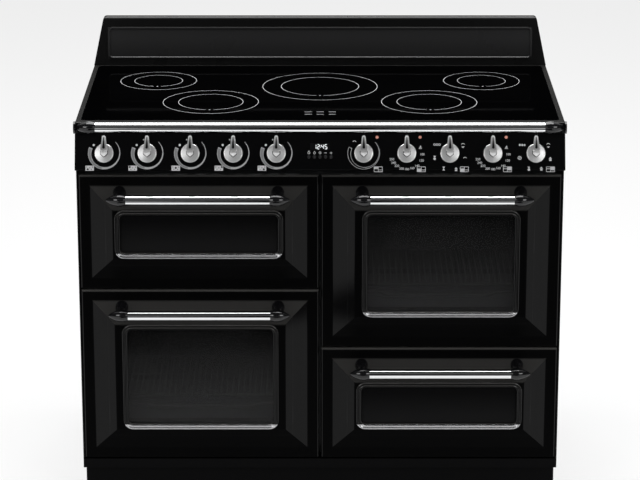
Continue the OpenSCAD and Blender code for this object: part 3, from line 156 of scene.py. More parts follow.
def lay_on(finish, effect, bump_depth=None, bump_strength=0.4, **values):
    """Lays an effect over a material: its colour, its roughness, and its height as a bump."""
    tree = finish.node_tree
    shader = tree.nodes["Principled BSDF"]
    face = place_effect(finish, effect, **values)
    for output, socket in (("Colour", "Base Color"), ("Roughness", "Roughness")):
        if output in face.outputs:
            tree.links.new(face.outputs[output], shader.inputs[socket])
    if bump_depth is not None:
        bump = tree.nodes.new("ShaderNodeBump")
        bump.inputs["Strength"].default_value = bump_strength
        bump.inputs["Distance"].default_value = bump_depth
        join(tree, (face.outputs["Height"], bump.inputs["Height"]),
             (bump.outputs["Normal"], shader.inputs["Normal"]))
    return face


def enamelled(name, colour, roughness, grains=55.0, mottle=0.2, dust_and_painted_light=0.004, depth=0.00002, shine=0.5):
    """An enamelled sheet's material."""
    finish = new_finish(name, colour, roughness, Specular_IOR_Level=shine)[0]
    lay_on(finish, fired_enamel, depth, Colour=(*colour, 1), Roughness=roughness, Grains=grains, Mottle=mottle,
           Dust=dust_and_painted_light)
    return finish


def dress(finish, *nodes):
    """Gives CAD pieces their finish."""
    for node in nodes:
        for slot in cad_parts[node].material_slots:
            slot.material = finish


body_black = (0.002, 0.002, 0.0022)
underside_enamel = enamelled("underside_enamel", body_black, 0.35, shine=0.04)
dress(underside_enamel, "base_pan", "plinth")

# Between two places along a line: 1 inside, 0 outside
along_x = (1.0, 0.0, 0.0)
along_y = (0.0, 1.0, 0.0)
along_z = (0.0, 0.0, 1.0)
span_mask, ends, out = new_effect(
    "span_mask", {"Along": along_x, "Low": 0.0, "High": 1.0}, {"Inside": "Float"})
reach = span_mask.nodes.new("ShaderNodeVectorMath")
reach.operation = "DOT_PRODUCT"
join(span_mask, (own_place(span_mask), reach.inputs[0]), (ends.outputs["Along"], reach.inputs[1]))
past_low = sum_node(span_mask, "GREATER_THAN", reach.outputs["Value"], ends.outputs["Low"])
below_high = sum_node(span_mask, "LESS_THAN", reach.outputs["Value"], ends.outputs["High"])
span_mask.links.new(sum_node(span_mask, "MULTIPLY", past_low, below_high), out.inputs["Inside"])


def between(finish, along, low, high):
    """Where a material lies between two places along a line."""
    return place_effect(finish, span_mask, Along=along, Low=low, High=high).outputs["Inside"]


# Worked metal: fine lines along one direction, and a little tarnish in patches
patch_grains = 18.0
tarnish_brown = (0.08, 0.07, 0.06)
metal_gloss_spread = 0.04
drawn_metal, ends, out = new_effect(
    "drawn_metal",
    {"Colour": (0.5, 0.5, 0.5, 1.0), "Roughness": 0.2, "Stretch": (1.0, 1.0, 1.0), "Tarnish": 0.1},
    {"Colour": "Color", "Roughness": "Float", "Height": "Float"})
spot = own_place(drawn_metal)
stretch = drawn_metal.nodes.new("ShaderNodeVectorMath")
stretch.operation = "MULTIPLY"
join(drawn_metal, (spot, stretch.inputs[0]), (ends.outputs["Stretch"], stretch.inputs[1]))
lines = noise(drawn_metal, stretch.outputs[0], 1.0, 3.0)
shade = sum_node(drawn_metal, "MULTIPLY", ends.outputs["Tarnish"], noise(drawn_metal, spot, patch_grains, 4.0))
gloss = sum_node(drawn_metal, "MULTIPLY_ADD", lines, metal_gloss_spread, ends.outputs["Roughness"])
join(drawn_metal,
     (mix_colours(drawn_metal, shade, ends.outputs["Colour"], tarnish_brown), out.inputs["Colour"]),
     (gloss, out.inputs["Roughness"]), (lines, out.inputs["Height"]))


def worked(name, colour, roughness, stretch, tarnish, depth=0.00001):
    """A bare or plated metal's material."""
    finish, shader = new_finish(name, colour, roughness, 1.0)
    face = lay_on(finish, drawn_metal, depth, 0.5, Colour=(*colour, 1), Roughness=roughness, Stretch=stretch,
                  Tarnish=tarnish)
    return finish, shader, face


def two_part(finish, shader, face, axis, low, high, colour, roughness):
    """Bares the metal from low to high along an axis, and paints what lies outside."""
    tree = finish.node_tree
    inside = between(finish, axis, low, high)
    outside = sum_node(tree, "SUBTRACT", 1.0, inside)
    gloss = tree.nodes.new("ShaderNodeMix")
    gloss.inputs[3].default_value = roughness
    join(tree, (mix_colours(tree, outside, face.outputs["Colour"], colour), shader.inputs["Base Color"]),
         (outside, gloss.inputs[0]), (face.outputs["Roughness"], gloss.inputs[2]),
         (gloss.outputs[0], shader.inputs["Roughness"]), (inside, shader.inputs["Metallic"]))


pad_top = 0.008
socket_foot = 0.055
foot_steel = worked("foot_steel", (0.55, 0.55, 0.56), 0.35, (40.0, 40.0, 900.0), 0.2)
two_part(*foot_steel, along_z, pad_top, socket_foot, (0.02, 0.02, 0.021), 0.5)
dress(foot_steel[0], "feet")


# ---- Chassis and side panels ----
# The chassis is a welded frame of sheet whose front plate is enamelled dark grey, with the hinge arms on it.
# The side panels are enamelled sheet, folded at the edges and hung on the chassis.

chassis_grey = (0.022, 0.023, 0.025)
chassis_enamel = enamelled("chassis_enamel", chassis_grey, 0.4, grains=140.0, mottle=0.3, dust_and_painted_light=0.002, shine=0.4)
dress(chassis_enamel, "chassis_frame")
side_enamel = enamelled("side_enamel", body_black, 0.2, grains=45.0, dust_and_painted_light=0.003, depth=0.00003, shine=0.1)
dress(side_enamel, "side_panels")


# ---- Back panel and connection ----
# The back is one galvanised sheet with pressed louvres, held by hex-headed screws along its edges.
# The mains cable enters a moulded box low down, whose cover is held by two screws.

zinc_spangle, ends, out = new_effect(
    "zinc_spangle", {"Colour": (0.5, 0.5, 0.5, 1.0), "Grains": 90.0}, {"Colour": "Color", "Roughness": "Float"})
flakes = zinc_spangle.nodes.new("ShaderNodeTexVoronoi")
join(zinc_spangle, (own_place(zinc_spangle), flakes.inputs["Vector"]),
     (ends.outputs["Grains"], flakes.inputs["Scale"]))
tint = zinc_spangle.nodes.new("ShaderNodeSeparateColor")
zinc_spangle.links.new(flakes.outputs["Color"], tint.inputs[0])
dark_flakes = sum_node(zinc_spangle, "MULTIPLY", tint.outputs[0], 0.45)
join(zinc_spangle,
     (mix_colours(zinc_spangle, dark_flakes, ends.outputs["Colour"], (0.2, 0.21, 0.22)), out.inputs["Colour"]),
     (sum_node(zinc_spangle, "MULTIPLY_ADD", tint.outputs[1], 0.2, 0.35), out.inputs["Roughness"]))


def galvanised(name, colour, grains=90.0):
    """Zinc-coated sheet with its flakes."""
    finish = new_finish(name, colour, 0.4, 1.0)[0]
    lay_on(finish, zinc_spangle, Colour=(*colour, 1), Grains=grains)
    return finish


back_zinc = galvanised("back_zinc", (0.56, 0.57, 0.58))
dress(back_zinc, "back_panel")
box_plastic = enamelled("box_plastic", (0.62, 0.61, 0.58), 0.45, grains=900.0, mottle=0.05, dust_and_painted_light=0.02,
                        depth=0.00001)
dress(box_plastic, "terminal_box")


def turned(shape, profile, sides, place):
    """Adds a turned form from its (radius, height) points, foot first."""
    rings = []
    for radius, height in profile:
        count = sides if radius else 1
        rings.append([shape.verts.new(place @ Vector((radius * math.cos(2 * math.pi * i / sides),
                                                      radius * math.sin(2 * math.pi * i / sides), height)))
                      for i in range(count)])
    for low, high in zip(rings, rings[1:]):
        for i in range(sides):
            corners = (low[i % len(low)], low[(i + 1) % sides % len(low)],
                       high[(i + 1) % sides % len(high)], high[i % len(high)])
            shape.faces.new(dict.fromkeys(corners))


def moved(x, y, z=0.0):
    """A shift by so much."""
    return Matrix.Translation((x, y, z))


def new_piece(name, shape, finish, body):
    """Makes a piece of a finished shape: it rides on one body and takes its finish from one slot."""
    bmesh.ops.recalc_face_normals(shape, faces=shape.faces)
    mesh = bpy.data.meshes.new(name)
    shape.to_mesh(mesh)
    shape.free()
    mesh.materials.append(finish)
    mesh.shade_smooth()
    mesh.set_sharp_from_angle(angle=math.radians(40))
    piece = bpy.data.objects.new(name, mesh)
    bpy.context.scene.collection.objects.link(piece)
    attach(piece, body)


def hex_screw(shape, place):
    """A hex-headed sheet screw with its flange, standing on the sheet it holds."""
    across = 0.007
    turned(shape, [(0, 0), (across * 0.8, 0), (across * 0.8, 0.0006), (across * 0.55, 0.0012), (0, 0.0012)],
           24, place)
    turned(shape, [(0, 0.001), (across * 0.54, 0.001), (across * 0.54, 0.0036), (across * 0.42, 0.0043),
                   (0, 0.0043)], 6, place)


def pan_screw(shape, place, radius=0.0035):
    """A domed screw head with a cross recess."""
    turned(shape, [(0, 0), (radius, 0), (radius, radius * 0.25), (radius * 0.82, radius * 0.52),
                   (radius * 0.5, radius * 0.66), (0, radius * 0.7)], 20, place)
    arm = radius * 1.24
    thick = radius * 0.32
    for turn in (0, math.pi / 2):
        bar = Matrix.Rotation(turn, 4, "Z") @ moved(0, 0, radius * 0.66)
        bmesh.ops.create_cube(shape, size=1.0,
                              matrix=place @ bar @ Matrix.Diagonal((arm, thick, radius * 0.12, 1)))


screw_zinc = worked("screw_zinc", (0.66, 0.66, 0.64), 0.3, (60.0, 60.0, 60.0), 0.25)[0]
back_face = 0.3085
back_row_xs = (-0.52, -0.26, 0.0, 0.26, 0.52)
back_row_heights = (0.105, 0.852)
back_side_x = 0.536
back_side_heights = (0.25, 0.45, 0.65)
box_face = 0.3342
box_screw_xs = (0.284, 0.384)
box_screw_z = 0.272
towards_rear = Matrix.Rotation(-math.pi / 2, 4, "X")
shape = bmesh.new()
for x in back_row_xs:
    for z in back_row_heights:
        hex_screw(shape, moved(x, back_face, z) @ towards_rear)
for x in (-back_side_x, back_side_x):
    for z in back_side_heights:
        hex_screw(shape, moved(x, back_face, z) @ towards_rear)
new_piece("back_screws", shape, screw_zinc, "cabinet")
shape = bmesh.new()
for x in box_screw_xs:
    pan_screw(shape, moved(x, box_face, box_screw_z) @ towards_rear)
new_piece("terminal_screws", shape, screw_zinc, "cabinet")


# ---- Ovens ----
# Each cavity is a welded box under dark enamel with a fine fleck, so that splashes don't show.
# Ladders, shelves and trays lift out; elements, fans and their covers are fixed to the rear wall or roof.

fleck, ends, out = new_effect(
    "fleck", {"Ground": (0.03, 0.03, 0.04, 1.0), "Fleck": (0.3, 0.3, 0.3, 1.0), "Grains": 450.0, "Share": 0.2},
    {"Colour": "Color", "Height": "Float"})
dots = fleck.nodes.new("ShaderNodeTexVoronoi")
join(fleck, (own_place(fleck), dots.inputs["Vector"]), (ends.outputs["Grains"], dots.inputs["Scale"]))
small = sum_node(fleck, "LESS_THAN", dots.outputs["Distance"], ends.outputs["Share"])
join(fleck,
     (mix_colours(fleck, small, ends.outputs["Ground"], ends.outputs["Fleck"]), out.inputs["Colour"]),
     (dots.outputs["Distance"], out.inputs["Height"]))


def flecked(name, ground, spots, roughness, grains=450.0, share=0.2):
    """Speckled oven enamel."""
    finish = new_finish(name, ground, roughness)[0]
    lay_on(finish, fleck, 0.0002, 0.15, Ground=(*ground, 1), Fleck=(*spots, 1), Grains=grains, Share=share)
    return finish


cavity_enamel = flecked("cavity_enamel", (0.055, 0.055, 0.057), (0.3, 0.3, 0.31), 0.28)
dress(cavity_enamel, "main_oven_cavity", "second_oven_cavity", "grill_cavity", "fan_covers")

seal_rubber = enamelled("seal_rubber", (0.035, 0.034, 0.033), 0.6, grains=1200.0, mottle=0.4, dust_and_painted_light=0.01,
                        depth=0.00005)
dress(seal_rubber, "door_seals")

wire_chrome = worked("wire_chrome", (0.5, 0.5, 0.51), 0.28, (80.0, 80.0, 80.0), 0.15)
dress(wire_chrome[0], "shelf_supports")
# Wire shelves and enamelled trays share a node: the trays lie low in the two tall cavities
shelf_finish, shelf_shader, shelf_face = worked("shelf_finish", (0.45, 0.45, 0.46), 0.3, (80.0, 80.0, 80.0),
                                                0.15)
tree = shelf_finish.node_tree
main_tray = (0.14, 0.19)
second_tray = (0.41, 0.462)
trays = [between(shelf_finish, along_z, *heights) for heights in (main_tray, second_tray)]
tray = sum_node(tree, "ADD", *trays, clamp=True)
shelf_colour = mix_colours(tree, tray, shelf_face.outputs["Colour"], (0.02, 0.021, 0.025))
join(tree, (shelf_colour, shelf_shader.inputs["Base Color"]),
     (sum_node(tree, "SUBTRACT", 1.0, tray), shelf_shader.inputs["Metallic"]))
dress(shelf_finish, "oven_shelves")

element_steel = worked("element_steel", (0.16, 0.145, 0.13), 0.45, (30.0, 30.0, 30.0), 0.6)
dress(element_steel[0], "heating_elements")
motor_steel = galvanised("motor_steel", (0.5, 0.51, 0.52), 200.0)
dress(motor_steel, "fan_motors")
fan_steel = worked("fan_steel", (0.5, 0.5, 0.49), 0.35, (20.0, 20.0, 20.0), 0.3)
dress(fan_steel[0], "main_oven_fan", "second_oven_fan")

# Screws of the fan covers, and a glass dome over the lamp in each cavity's rear wall; the two ovens are lit
lamp_glass = new_finish("lamp_glass", (0.9, 0.88, 0.82), 0.1)[0]
lay_on(lamp_glass, drawn_metal, Colour=(0.9, 0.88, 0.82, 1), Roughness=0.08, Stretch=(400.0, 400.0, 400.0),
       Tarnish=0.05)


def hang_lamp(lamp, place):
    """Hangs a lamp where the camera doesn't see it."""
    holder = bpy.data.objects.new(lamp.name, lamp)
    bpy.context.scene.collection.objects.link(holder)
    holder.location = place
    holder.visible_camera = False
    return holder


# Each cavity's middle across the cooker, its floor and its height
ovens = {"main": (-0.274, 0.147, 0.316), "second": (0.274, 0.419, 0.316), "grill": (-0.274, 0.559, 0.176)}
wall = 0.183
cover_out = 0.038
cover_screw_x = 0.1
cover_screw_z = 0.09
lamp_side = 0.165
lamp_drop = 0.04
bulb_out = 0.2
bulb_level = 0.62
lamp_dome = [(0, 0), (0.022, 0), (0.022, 0.004), (0.019, 0.012), (0.012, 0.018), (0.005, 0.0205), (0, 0.021)]
towards_door = Matrix.Rotation(math.pi / 2, 4, "X")
cover_screws = bmesh.new()
lamps = bmesh.new()
for oven, (x, floor, height) in ovens.items():
    turned(lamps, lamp_dome, 32, moved(x + lamp_side, wall, floor + height - lamp_drop) @ towards_door)
    if oven == "grill":
        continue
    for dx in (-cover_screw_x, cover_screw_x):
        for dz in (-cover_screw_z, cover_screw_z):
            place = moved(x + dx, wall - cover_out, floor + height / 2 + dz)
            pan_screw(cover_screws, place @ towards_door, 0.004)
    bulb = bpy.data.lights.new(oven + "_oven_bulb", "POINT")
    bulb.energy = 2.0
    bulb.shadow_soft_size = 0.08
    bulb.color = (1.0, 0.98, 0.96)
    holder = hang_lamp(bulb, (x, wall - bulb_out, floor + height * bulb_level))
    holder.visible_transmission = False
    holder.visible_glossy = False
new_piece("fan_cover_screws", cover_screws, screw_zinc, "cabinet")
new_piece("oven_lamps", lamps, lamp_glass, "cabinet")


# ---- Hob ----
# Five flat-wound induction coils lie on an aluminium tray under one black glass-ceramic plate.
# The plate is bonded into the enamelled worktop frame, and its zones and touch marks are fired on in grey.

tray_metal = worked("tray_metal", (0.66, 0.67, 0.68), 0.4, (12.0, 500.0, 12.0), 0.1)
dress(tray_metal[0], "coil_tray")
coil_finish = worked("coil_copper", (0.55, 0.24, 0.11), 0.35, (900.0, 900.0, 20.0), 0.35)
winding_foot = 0.885
winding_top = 0.95
two_part(*coil_finish, along_z, winding_foot, winding_top, (0.7, 0.7, 0.68), 0.6)
dress(coil_finish[0], "induction_coils")
# The pale grey on the frame's up-facing flanges is painted light
rim_enamel = enamelled("rim_enamel", body_black, 0.18, grains=45.0, dust_and_painted_light=0.035, shine=0.1)
dress(rim_enamel, "worktop_frame")

glass_black = (0.0006, 0.0006, 0.0007)
hob_black = new_finish("hob_black", glass_black, 0.03, Specular_IOR_Level=0.004)[0]
lay_on(hob_black, fired_enamel, Colour=(*glass_black, 1), Roughness=0.01, Grains=30.0, Mottle=0.3, Dust=0.0)
dress(hob_black, "hob_glass")

# Fired-on print: each zone has an outer ring and an inner ring that breaks for a dot at its front.
# A zone is its middle across the cooker, its depth behind the doors, and the two rings' diameters.
door_face = -0.263
glass_face = 0.8992
print_lift = 0.00004
print_thick = 0.00005
zone_rings = [(-0.384, 0.404, 0.180, 0.114), (0.384, 0.404, 0.180, 0.114), (-0.252, 0.195, 0.220, 0.149),
              (0.252, 0.195, 0.220, 0.149), (0.0, 0.348, 0.270, 0.183)]
ring_line = 0.0015
zone_dot = 0.0022
dot_room = 0.0085
touch_xs = (-0.0264, 0.0004, 0.028)
touch_rows = (0.101, 0.078)
# A ring stops a hair short of its own start
whole_turn = 2 * math.pi - 1e-5


def flat_form(shape, outline, place, thick=print_thick):
    """Adds a flat shape of that thickness from its outline."""
    low = [shape.verts.new(place @ Vector((x, y, 0))) for x, y in outline]
    high = [shape.verts.new(place @ Vector((x, y, thick))) for x, y in outline]
    shape.faces.new(low)
    shape.faces.new(reversed(high))
    for i in range(len(low)):
        j = (i + 1) % len(low)
        shape.faces.new((low[j], low[i], high[i], high[j]))


def arc_band(shape, place, start, stop, spans):
    """Adds a flat printed band along an arc, from its inner and outer radius at each step."""
    rows = []
    for i, (inner, outer) in enumerate(spans):
        angle = start + (stop - start) * i / (len(spans) - 1)
        rows.append([shape.verts.new(place @ Vector((r * math.cos(angle), r * math.sin(angle), z)))
                     for r, z in ((inner, 0), (outer, 0), (outer, print_thick), (inner, print_thick))])
    for a, b in zip(rows, rows[1:]):
        for i in range(4):
            shape.faces.new((a[i], a[(i + 1) % 4], b[(i + 1) % 4], b[i]))
    shape.faces.new(rows[0])
    shape.faces.new(reversed(rows[-1]))


def thin_arc(shape, place, start, stop, radius, wide, steps=96):
    """Adds a printed line along an arc."""
    arc_band(shape, place, start, stop, [(radius - wide / 2, radius + wide / 2)] * (steps + 1))


def round_dot(shape, place, x, y, radius):
    """A printed dot."""
    turned(shape, [(0, 0), (radius, 0), (radius, print_thick), (0, print_thick)], 20, place @ moved(x, y))


def printed(name, colour, roughness=0.5):
    """Fired-on print."""
    return enamelled(name, colour, roughness, grains=2500.0, mottle=0.25, dust_and_painted_light=0.0)


zone_grey = printed("zone_grey", (0.36, 0.36, 0.37))
shape = bmesh.new()
for x, back, outer, inner in zone_rings:
    place = moved(x, door_face + back, glass_face + print_lift)
    thin_arc(shape, place, 0, whole_turn, outer / 2, ring_line)
    gap = dot_room / (inner / 2)
    thin_arc(shape, place, gap - math.pi / 2, 3 * math.pi / 2 - gap, inner / 2, ring_line)
    round_dot(shape, place, 0, -inner / 2, zone_dot)
new_piece("hob_rings", shape, zone_grey, "cabinet")
touch_mark = [(-0.008, -0.0011), (0.008, -0.0011), (0.0085, 0), (0.008, 0.0011), (-0.008, 0.0011), (-0.0085, 0)]
shape = bmesh.new()
for x in touch_xs:
    for y in touch_rows:
        flat_form(shape, touch_mark, moved(x, door_face + y, glass_face + print_lift))
new_piece("hob_touch_marks", shape, zone_grey, "cabinet")


# ---- Splashback ----
# One enamelled pressing with a rolled top, closed ends and a raised field inside a half-round bead.
# It leans back a little and is screwed down behind the glass.

def smooth_step(tree, value, low, high):
    """0 below low, 1 above high, and a soft step between."""
    ramp = tree.nodes.new("ShaderNodeMapRange")
    ramp.interpolation_type = "SMOOTHSTEP"
    for socket, term in (("Value", value), ("From Min", low), ("From Max", high)):
        feed(tree, ramp.inputs[socket], term)
    return ramp.outputs["Result"]


# How far a face turns upward, and how far it turns to either side
facing_mask, ends, out = new_effect(
    "facing_mask", {"Up from": 0.1, "Up to": 0.6, "Side from": 0.2, "Side to": 0.4},
    {"Up": "Float", "Side": "Float"})
turned_to = facing(facing_mask)
for name, turn in (("Up", turned_to["Z"]), ("Side", sum_node(facing_mask, "ABSOLUTE", turned_to["X"]))):
    step = smooth_step(facing_mask, turn, ends.outputs[name + " from"], ends.outputs[name + " to"])
    facing_mask.links.new(step, out.inputs[name])

# Full at the foot of a stretch of height, fading to nothing at its top
foot_fade, ends, out = new_effect("foot_fade", {"Low": 0.0, "High": 1.0}, {"Fade": "Float"})
level = split(foot_fade, own_place(foot_fade))["Z"]
ramp = foot_fade.nodes.new("ShaderNodeMapRange")
for socket, term in (("Value", level), ("From Min", ends.outputs["Low"]), ("From Max", ends.outputs["High"]),
                     ("To Min", 1.0), ("To Max", 0.0)):
    feed(foot_fade, ramp.inputs[socket], term)
above = sum_node(foot_fade, "GREATER_THAN", level, ends.outputs["Low"])
foot_fade.links.new(sum_node(foot_fade, "MULTIPLY", ramp.outputs["Result"], above), out.inputs["Fade"])


def fading_up(finish, *stretches):
    """Full at the foot of each stretch of height, and nothing at its top."""
    fade = 0.0
    for low, high in stretches:
        foot = place_effect(finish, foot_fade, Low=low, High=high)
        fade = sum_node(finish.node_tree, "ADD", foot.outputs["Fade"], fade)
    return fade


splash_enamel = enamelled("splash_enamel", (0.0015, 0.0015, 0.0016), 0.24, grains=45.0, dust_and_painted_light=0.02,
                          shine=0.1)
tree = splash_enamel.node_tree
splash_shader = tree.nodes["Principled BSDF"]
facing_up = place_effect(splash_enamel, facing_mask, Up_from=0.3, Up_to=0.7).outputs["Up"]
# The gloss is worn off the bead over the field, which leaves it black; the bead under the field gets a painted
# highlight, a grey laid on where it faces up
top_bead = between(splash_enamel, along_z, 0.984, 0.9955)
low_bead = between(splash_enamel, along_z, 0.914, 0.9215)
top_edge = between(splash_enamel, along_z, 0.9985, 1.1)
glossy = sum_node(tree, "SUBTRACT", facing_up, top_bead, clamp=True)
glossy = sum_node(tree, "MULTIPLY_ADD", top_edge, -0.65, glossy, clamp=True)
# The raised field gets a painted sheen: a lighter black than the flats round it, most of all in its upper half
field_x = 0.516
field_foot = 0.9155
field_middle = 0.965
field_top = 0.9915
painted_sheen = sum_node(tree, "MULTIPLY_ADD", fading_up(splash_enamel, (field_foot, field_middle)), -0.6, 1.0)
for line, low, high in ((along_z, field_foot, field_top), (along_x, -field_x, field_x)):
    painted_sheen = sum_node(tree, "MULTIPLY", painted_sheen, between(splash_enamel, line, low, high))
flats = splash_shader.inputs["Base Color"].links[0].from_socket
black_with_painted_sheen = mix_colours(tree, painted_sheen, flats, (0.0145, 0.0145, 0.0148))
painted_bead_highlight = sum_node(tree, "MULTIPLY", low_bead, facing_up)
join(tree, (glossy, splash_shader.inputs["Coat Weight"]),
     (mix_colours(tree, painted_bead_highlight, black_with_painted_sheen, (0.04, 0.04, 0.041)), splash_shader.inputs["Base Color"]))
dress(splash_enamel, "splashback")


# ---- Front rail and handles ----
# Chromed steel tube between black acorn finials, which screw on from each end over a stud.
# The rail hangs on end brackets at the worktop; the handles stand off the doors on flared feet.

column = 0.274
bar_half = 0.161
rail_half = 0.5019


def bar_finish(name, middle, half):
    """Chrome between two places across the cooker, gloss black beyond them."""
    chrome = worked(name, (0.86, 0.87, 0.88), 0.005, (3.0, 40.0, 40.0), 0.03, 0.0)
    two_part(*chrome, along_x, middle - half, middle + half, (0.004, 0.004, 0.0045), 0.08)
    return chrome[0]


dress(bar_finish("rail_chrome", 0.0, rail_half), "front_rail")
dress(bar_finish("left_handle_chrome", -column, bar_half), "grill_door_handle", "main_door_handle")
dress(bar_finish("right_handle_chrome", column, bar_half), "second_door_handle", "drawer_handle")


# ---- Control panel ----
# Enamelled sheet folded to a wedge that leans towards the cook, with the switches behind it.
# Dials, symbols and numbers are screen-printed in light grey and fired.

panel_enamel = enamelled("panel_enamel", body_black, 0.22, grains=45.0, dust_and_painted_light=0.001, shine=0.03)
dress(panel_enamel, "control_panel")
display_black = enamelled("display_black", body_black, 0.06, grains=20.0, mottle=0.1, dust_and_painted_light=0.0, depth=0.000005)
dress(display_black, "timer_display")
switch_plastic = enamelled("switch_plastic", (0.6, 0.57, 0.48), 0.45, grains=700.0, mottle=0.1, dust_and_painted_light=0.0,
                           depth=0.00001)
dress(switch_plastic, "knob_switches")
button_black = enamelled("button_black", (0.012, 0.012, 0.013), 0.16, grains=300.0, mottle=0.1, dust_and_painted_light=0.0,
                         depth=0.00001)
dress(button_black, *[f"timer_button_{i}" for i in range(1, 6)])


def glowing(name, colour, roughness, grain, strength):
    """Lit plastic with a fine grain."""
    finish, shader = new_finish(name, colour, roughness, Emission_Strength=strength)
    face = lay_on(finish, drawn_metal, Colour=(*colour, 1), Roughness=roughness, Stretch=(grain, grain, grain),
                  Tarnish=0.1)
    finish.node_tree.links.new(face.outputs["Colour"], shader.inputs["Emission Color"])
    return finish


lens_red = glowing("lens_red", (0.4, 0.17, 0.13), 0.12, 500.0, 0.3)
dress(lens_red, "indicator_lenses")

# The panel's foot edge, and on its face the knobs' axes: their height, and their places across
panel_tilt = math.atan(30 / 79)
panel_foot = Vector((0.0, -0.295, 0.795))
knob_v = 0.041
knob_pitch = 0.0965
first_knob_x = 0.098
knob_xs = [side * first_knob_x + i * knob_pitch
           for side, places in ((-1, range(-4, 1)), (1, range(5))) for i in places]


def on_panel(x, v, lift=0.0):
    """The place on the panel's face so far across and up it."""
    turn = Matrix.Rotation(math.pi / 2 - panel_tilt, 4, "X")
    along = turn.to_3x3() @ Vector((0, v, lift))
    return Matrix.Translation(panel_foot + Vector((x, 0, 0)) + along) @ turn


def strip(shape, place, x0, y0, x1, y1, wide=0.0009):
    """A printed straight line."""
    run = Vector((x1 - x0, y1 - y0)).normalized() * wide / 2
    side = Vector((-run.y, run.x))
    flat_form(shape, [(x0 - side.x, y0 - side.y), (x1 - side.x, y1 - side.y), (x1 + side.x, y1 + side.y),
                      (x0 + side.x, y0 + side.y)], place)


def patch(shape, place, x0, y0, x1, y1):
    """A printed rectangle."""
    flat_form(shape, [(x0, y0), (x1, y0), (x1, y1), (x0, y1)], place)


figure_size = 0.0072


def number(shape, text, place):
    """Printed figures, their middle at the place."""
    letters = bpy.data.curves.new("figures", "FONT")
    letters.body = text
    letters.size = figure_size
    letters.align_x = "CENTER"
    letters.align_y = "CENTER"
    letters.extrude = print_thick / 2
    letters.offset = figure_size * 0.012
    holder = bpy.data.objects.new("figures", letters)
    mesh = bpy.data.meshes.new_from_object(holder)
    mesh.transform(place @ moved(0, 0, print_thick / 2))
    shape.from_mesh(mesh)
    bpy.data.objects.remove(holder)
    bpy.data.meshes.remove(mesh)


dial_outer = 0.0363
dial_start = math.radians(157.5)
dial_stop = math.radians(405)
dial_steps = 72
dial_line = 0.001
wedge_start = 0.0085
wedge_loss = 0.0075


def wedge_width(i):
    """The wedge's width after so many steps of its turn."""
    return wedge_start - wedge_loss * (i / dial_steps) ** 0.95


def dial_shade(shape, place):
    """The darker fill of a wedge's wide end, inside its outline."""
    shade_steps = 30
    margin = 0.0011
    step = (dial_stop - dial_start) / dial_steps
    arc_band(shape, place @ moved(0, 0, print_thick), dial_start + step, dial_start + shade_steps * step,
             [(dial_outer - wedge_width(i) + margin, dial_outer - margin) for i in range(1, shade_steps + 1)])


def dial_wedge(shape, place, filled):
    """The wedge round a knob: widest at a quarter to ten, thinning by way of six to half past one."""
    widths = [wedge_width(i) for i in range(dial_steps + 1)]
    if filled:
        arc_band(shape, place, dial_start, dial_stop, [(dial_outer - wide, dial_outer) for wide in widths])
        return
    thin_arc(shape, place, dial_start, dial_stop, dial_outer - dial_line / 2, dial_line, dial_steps)
    arc_band(shape, place, dial_start, dial_stop,
             [(dial_outer - wide, dial_outer - max(wide - dial_line, 0.0004)) for wide in widths])
    inner = dial_outer - widths[0]
    strip(shape, place, inner * math.cos(dial_start), inner * math.sin(dial_start),
          dial_outer * math.cos(dial_start), dial_outer * math.sin(dial_start), dial_line)


def zone_sign(light, dark, place, x, y, which):
    """A small plan of the hob: a light plate with five dark zones, the knob's own zone filled and large."""
    w, h = 0.0096, 0.0057
    patch(light, place, x - w, y - h, x + w, y + h)
    above = place @ moved(0, 0, print_thick)
    for i, (dx, dy) in enumerate(((-0.0066, 0.0026), (-0.0042, -0.0026), (0.0, 0.0008), (0.0042, -0.0026),
                                  (0.0066, 0.0026))):
        round_dot(dark, above, x + dx, y + dy, 0.0023 if i == which else 0.0011)


def compartment_sign(shape, place, x, y, cell):
    """A small front view of the cooker: its four fronts in outline, the knob's own one filled."""
    w, h = 0.0092, 0.0056
    line = 0.0012
    for y0 in (-h, h):
        strip(shape, place, x - w, y + y0, x + w, y + y0, line)
    for dx in (-w, 0, w):
        strip(shape, place, x + dx, y - h, x + dx, y + h, line)
    strip(shape, place, x - w, y + 0.0012, x, y + 0.0012, line)
    strip(shape, place, x, y - 0.0014, x + w, y - 0.0014, line)
    x0, y0, x1, y1 = cell
    patch(shape, place, x + x0, y + y0, x + x1, y + y1)


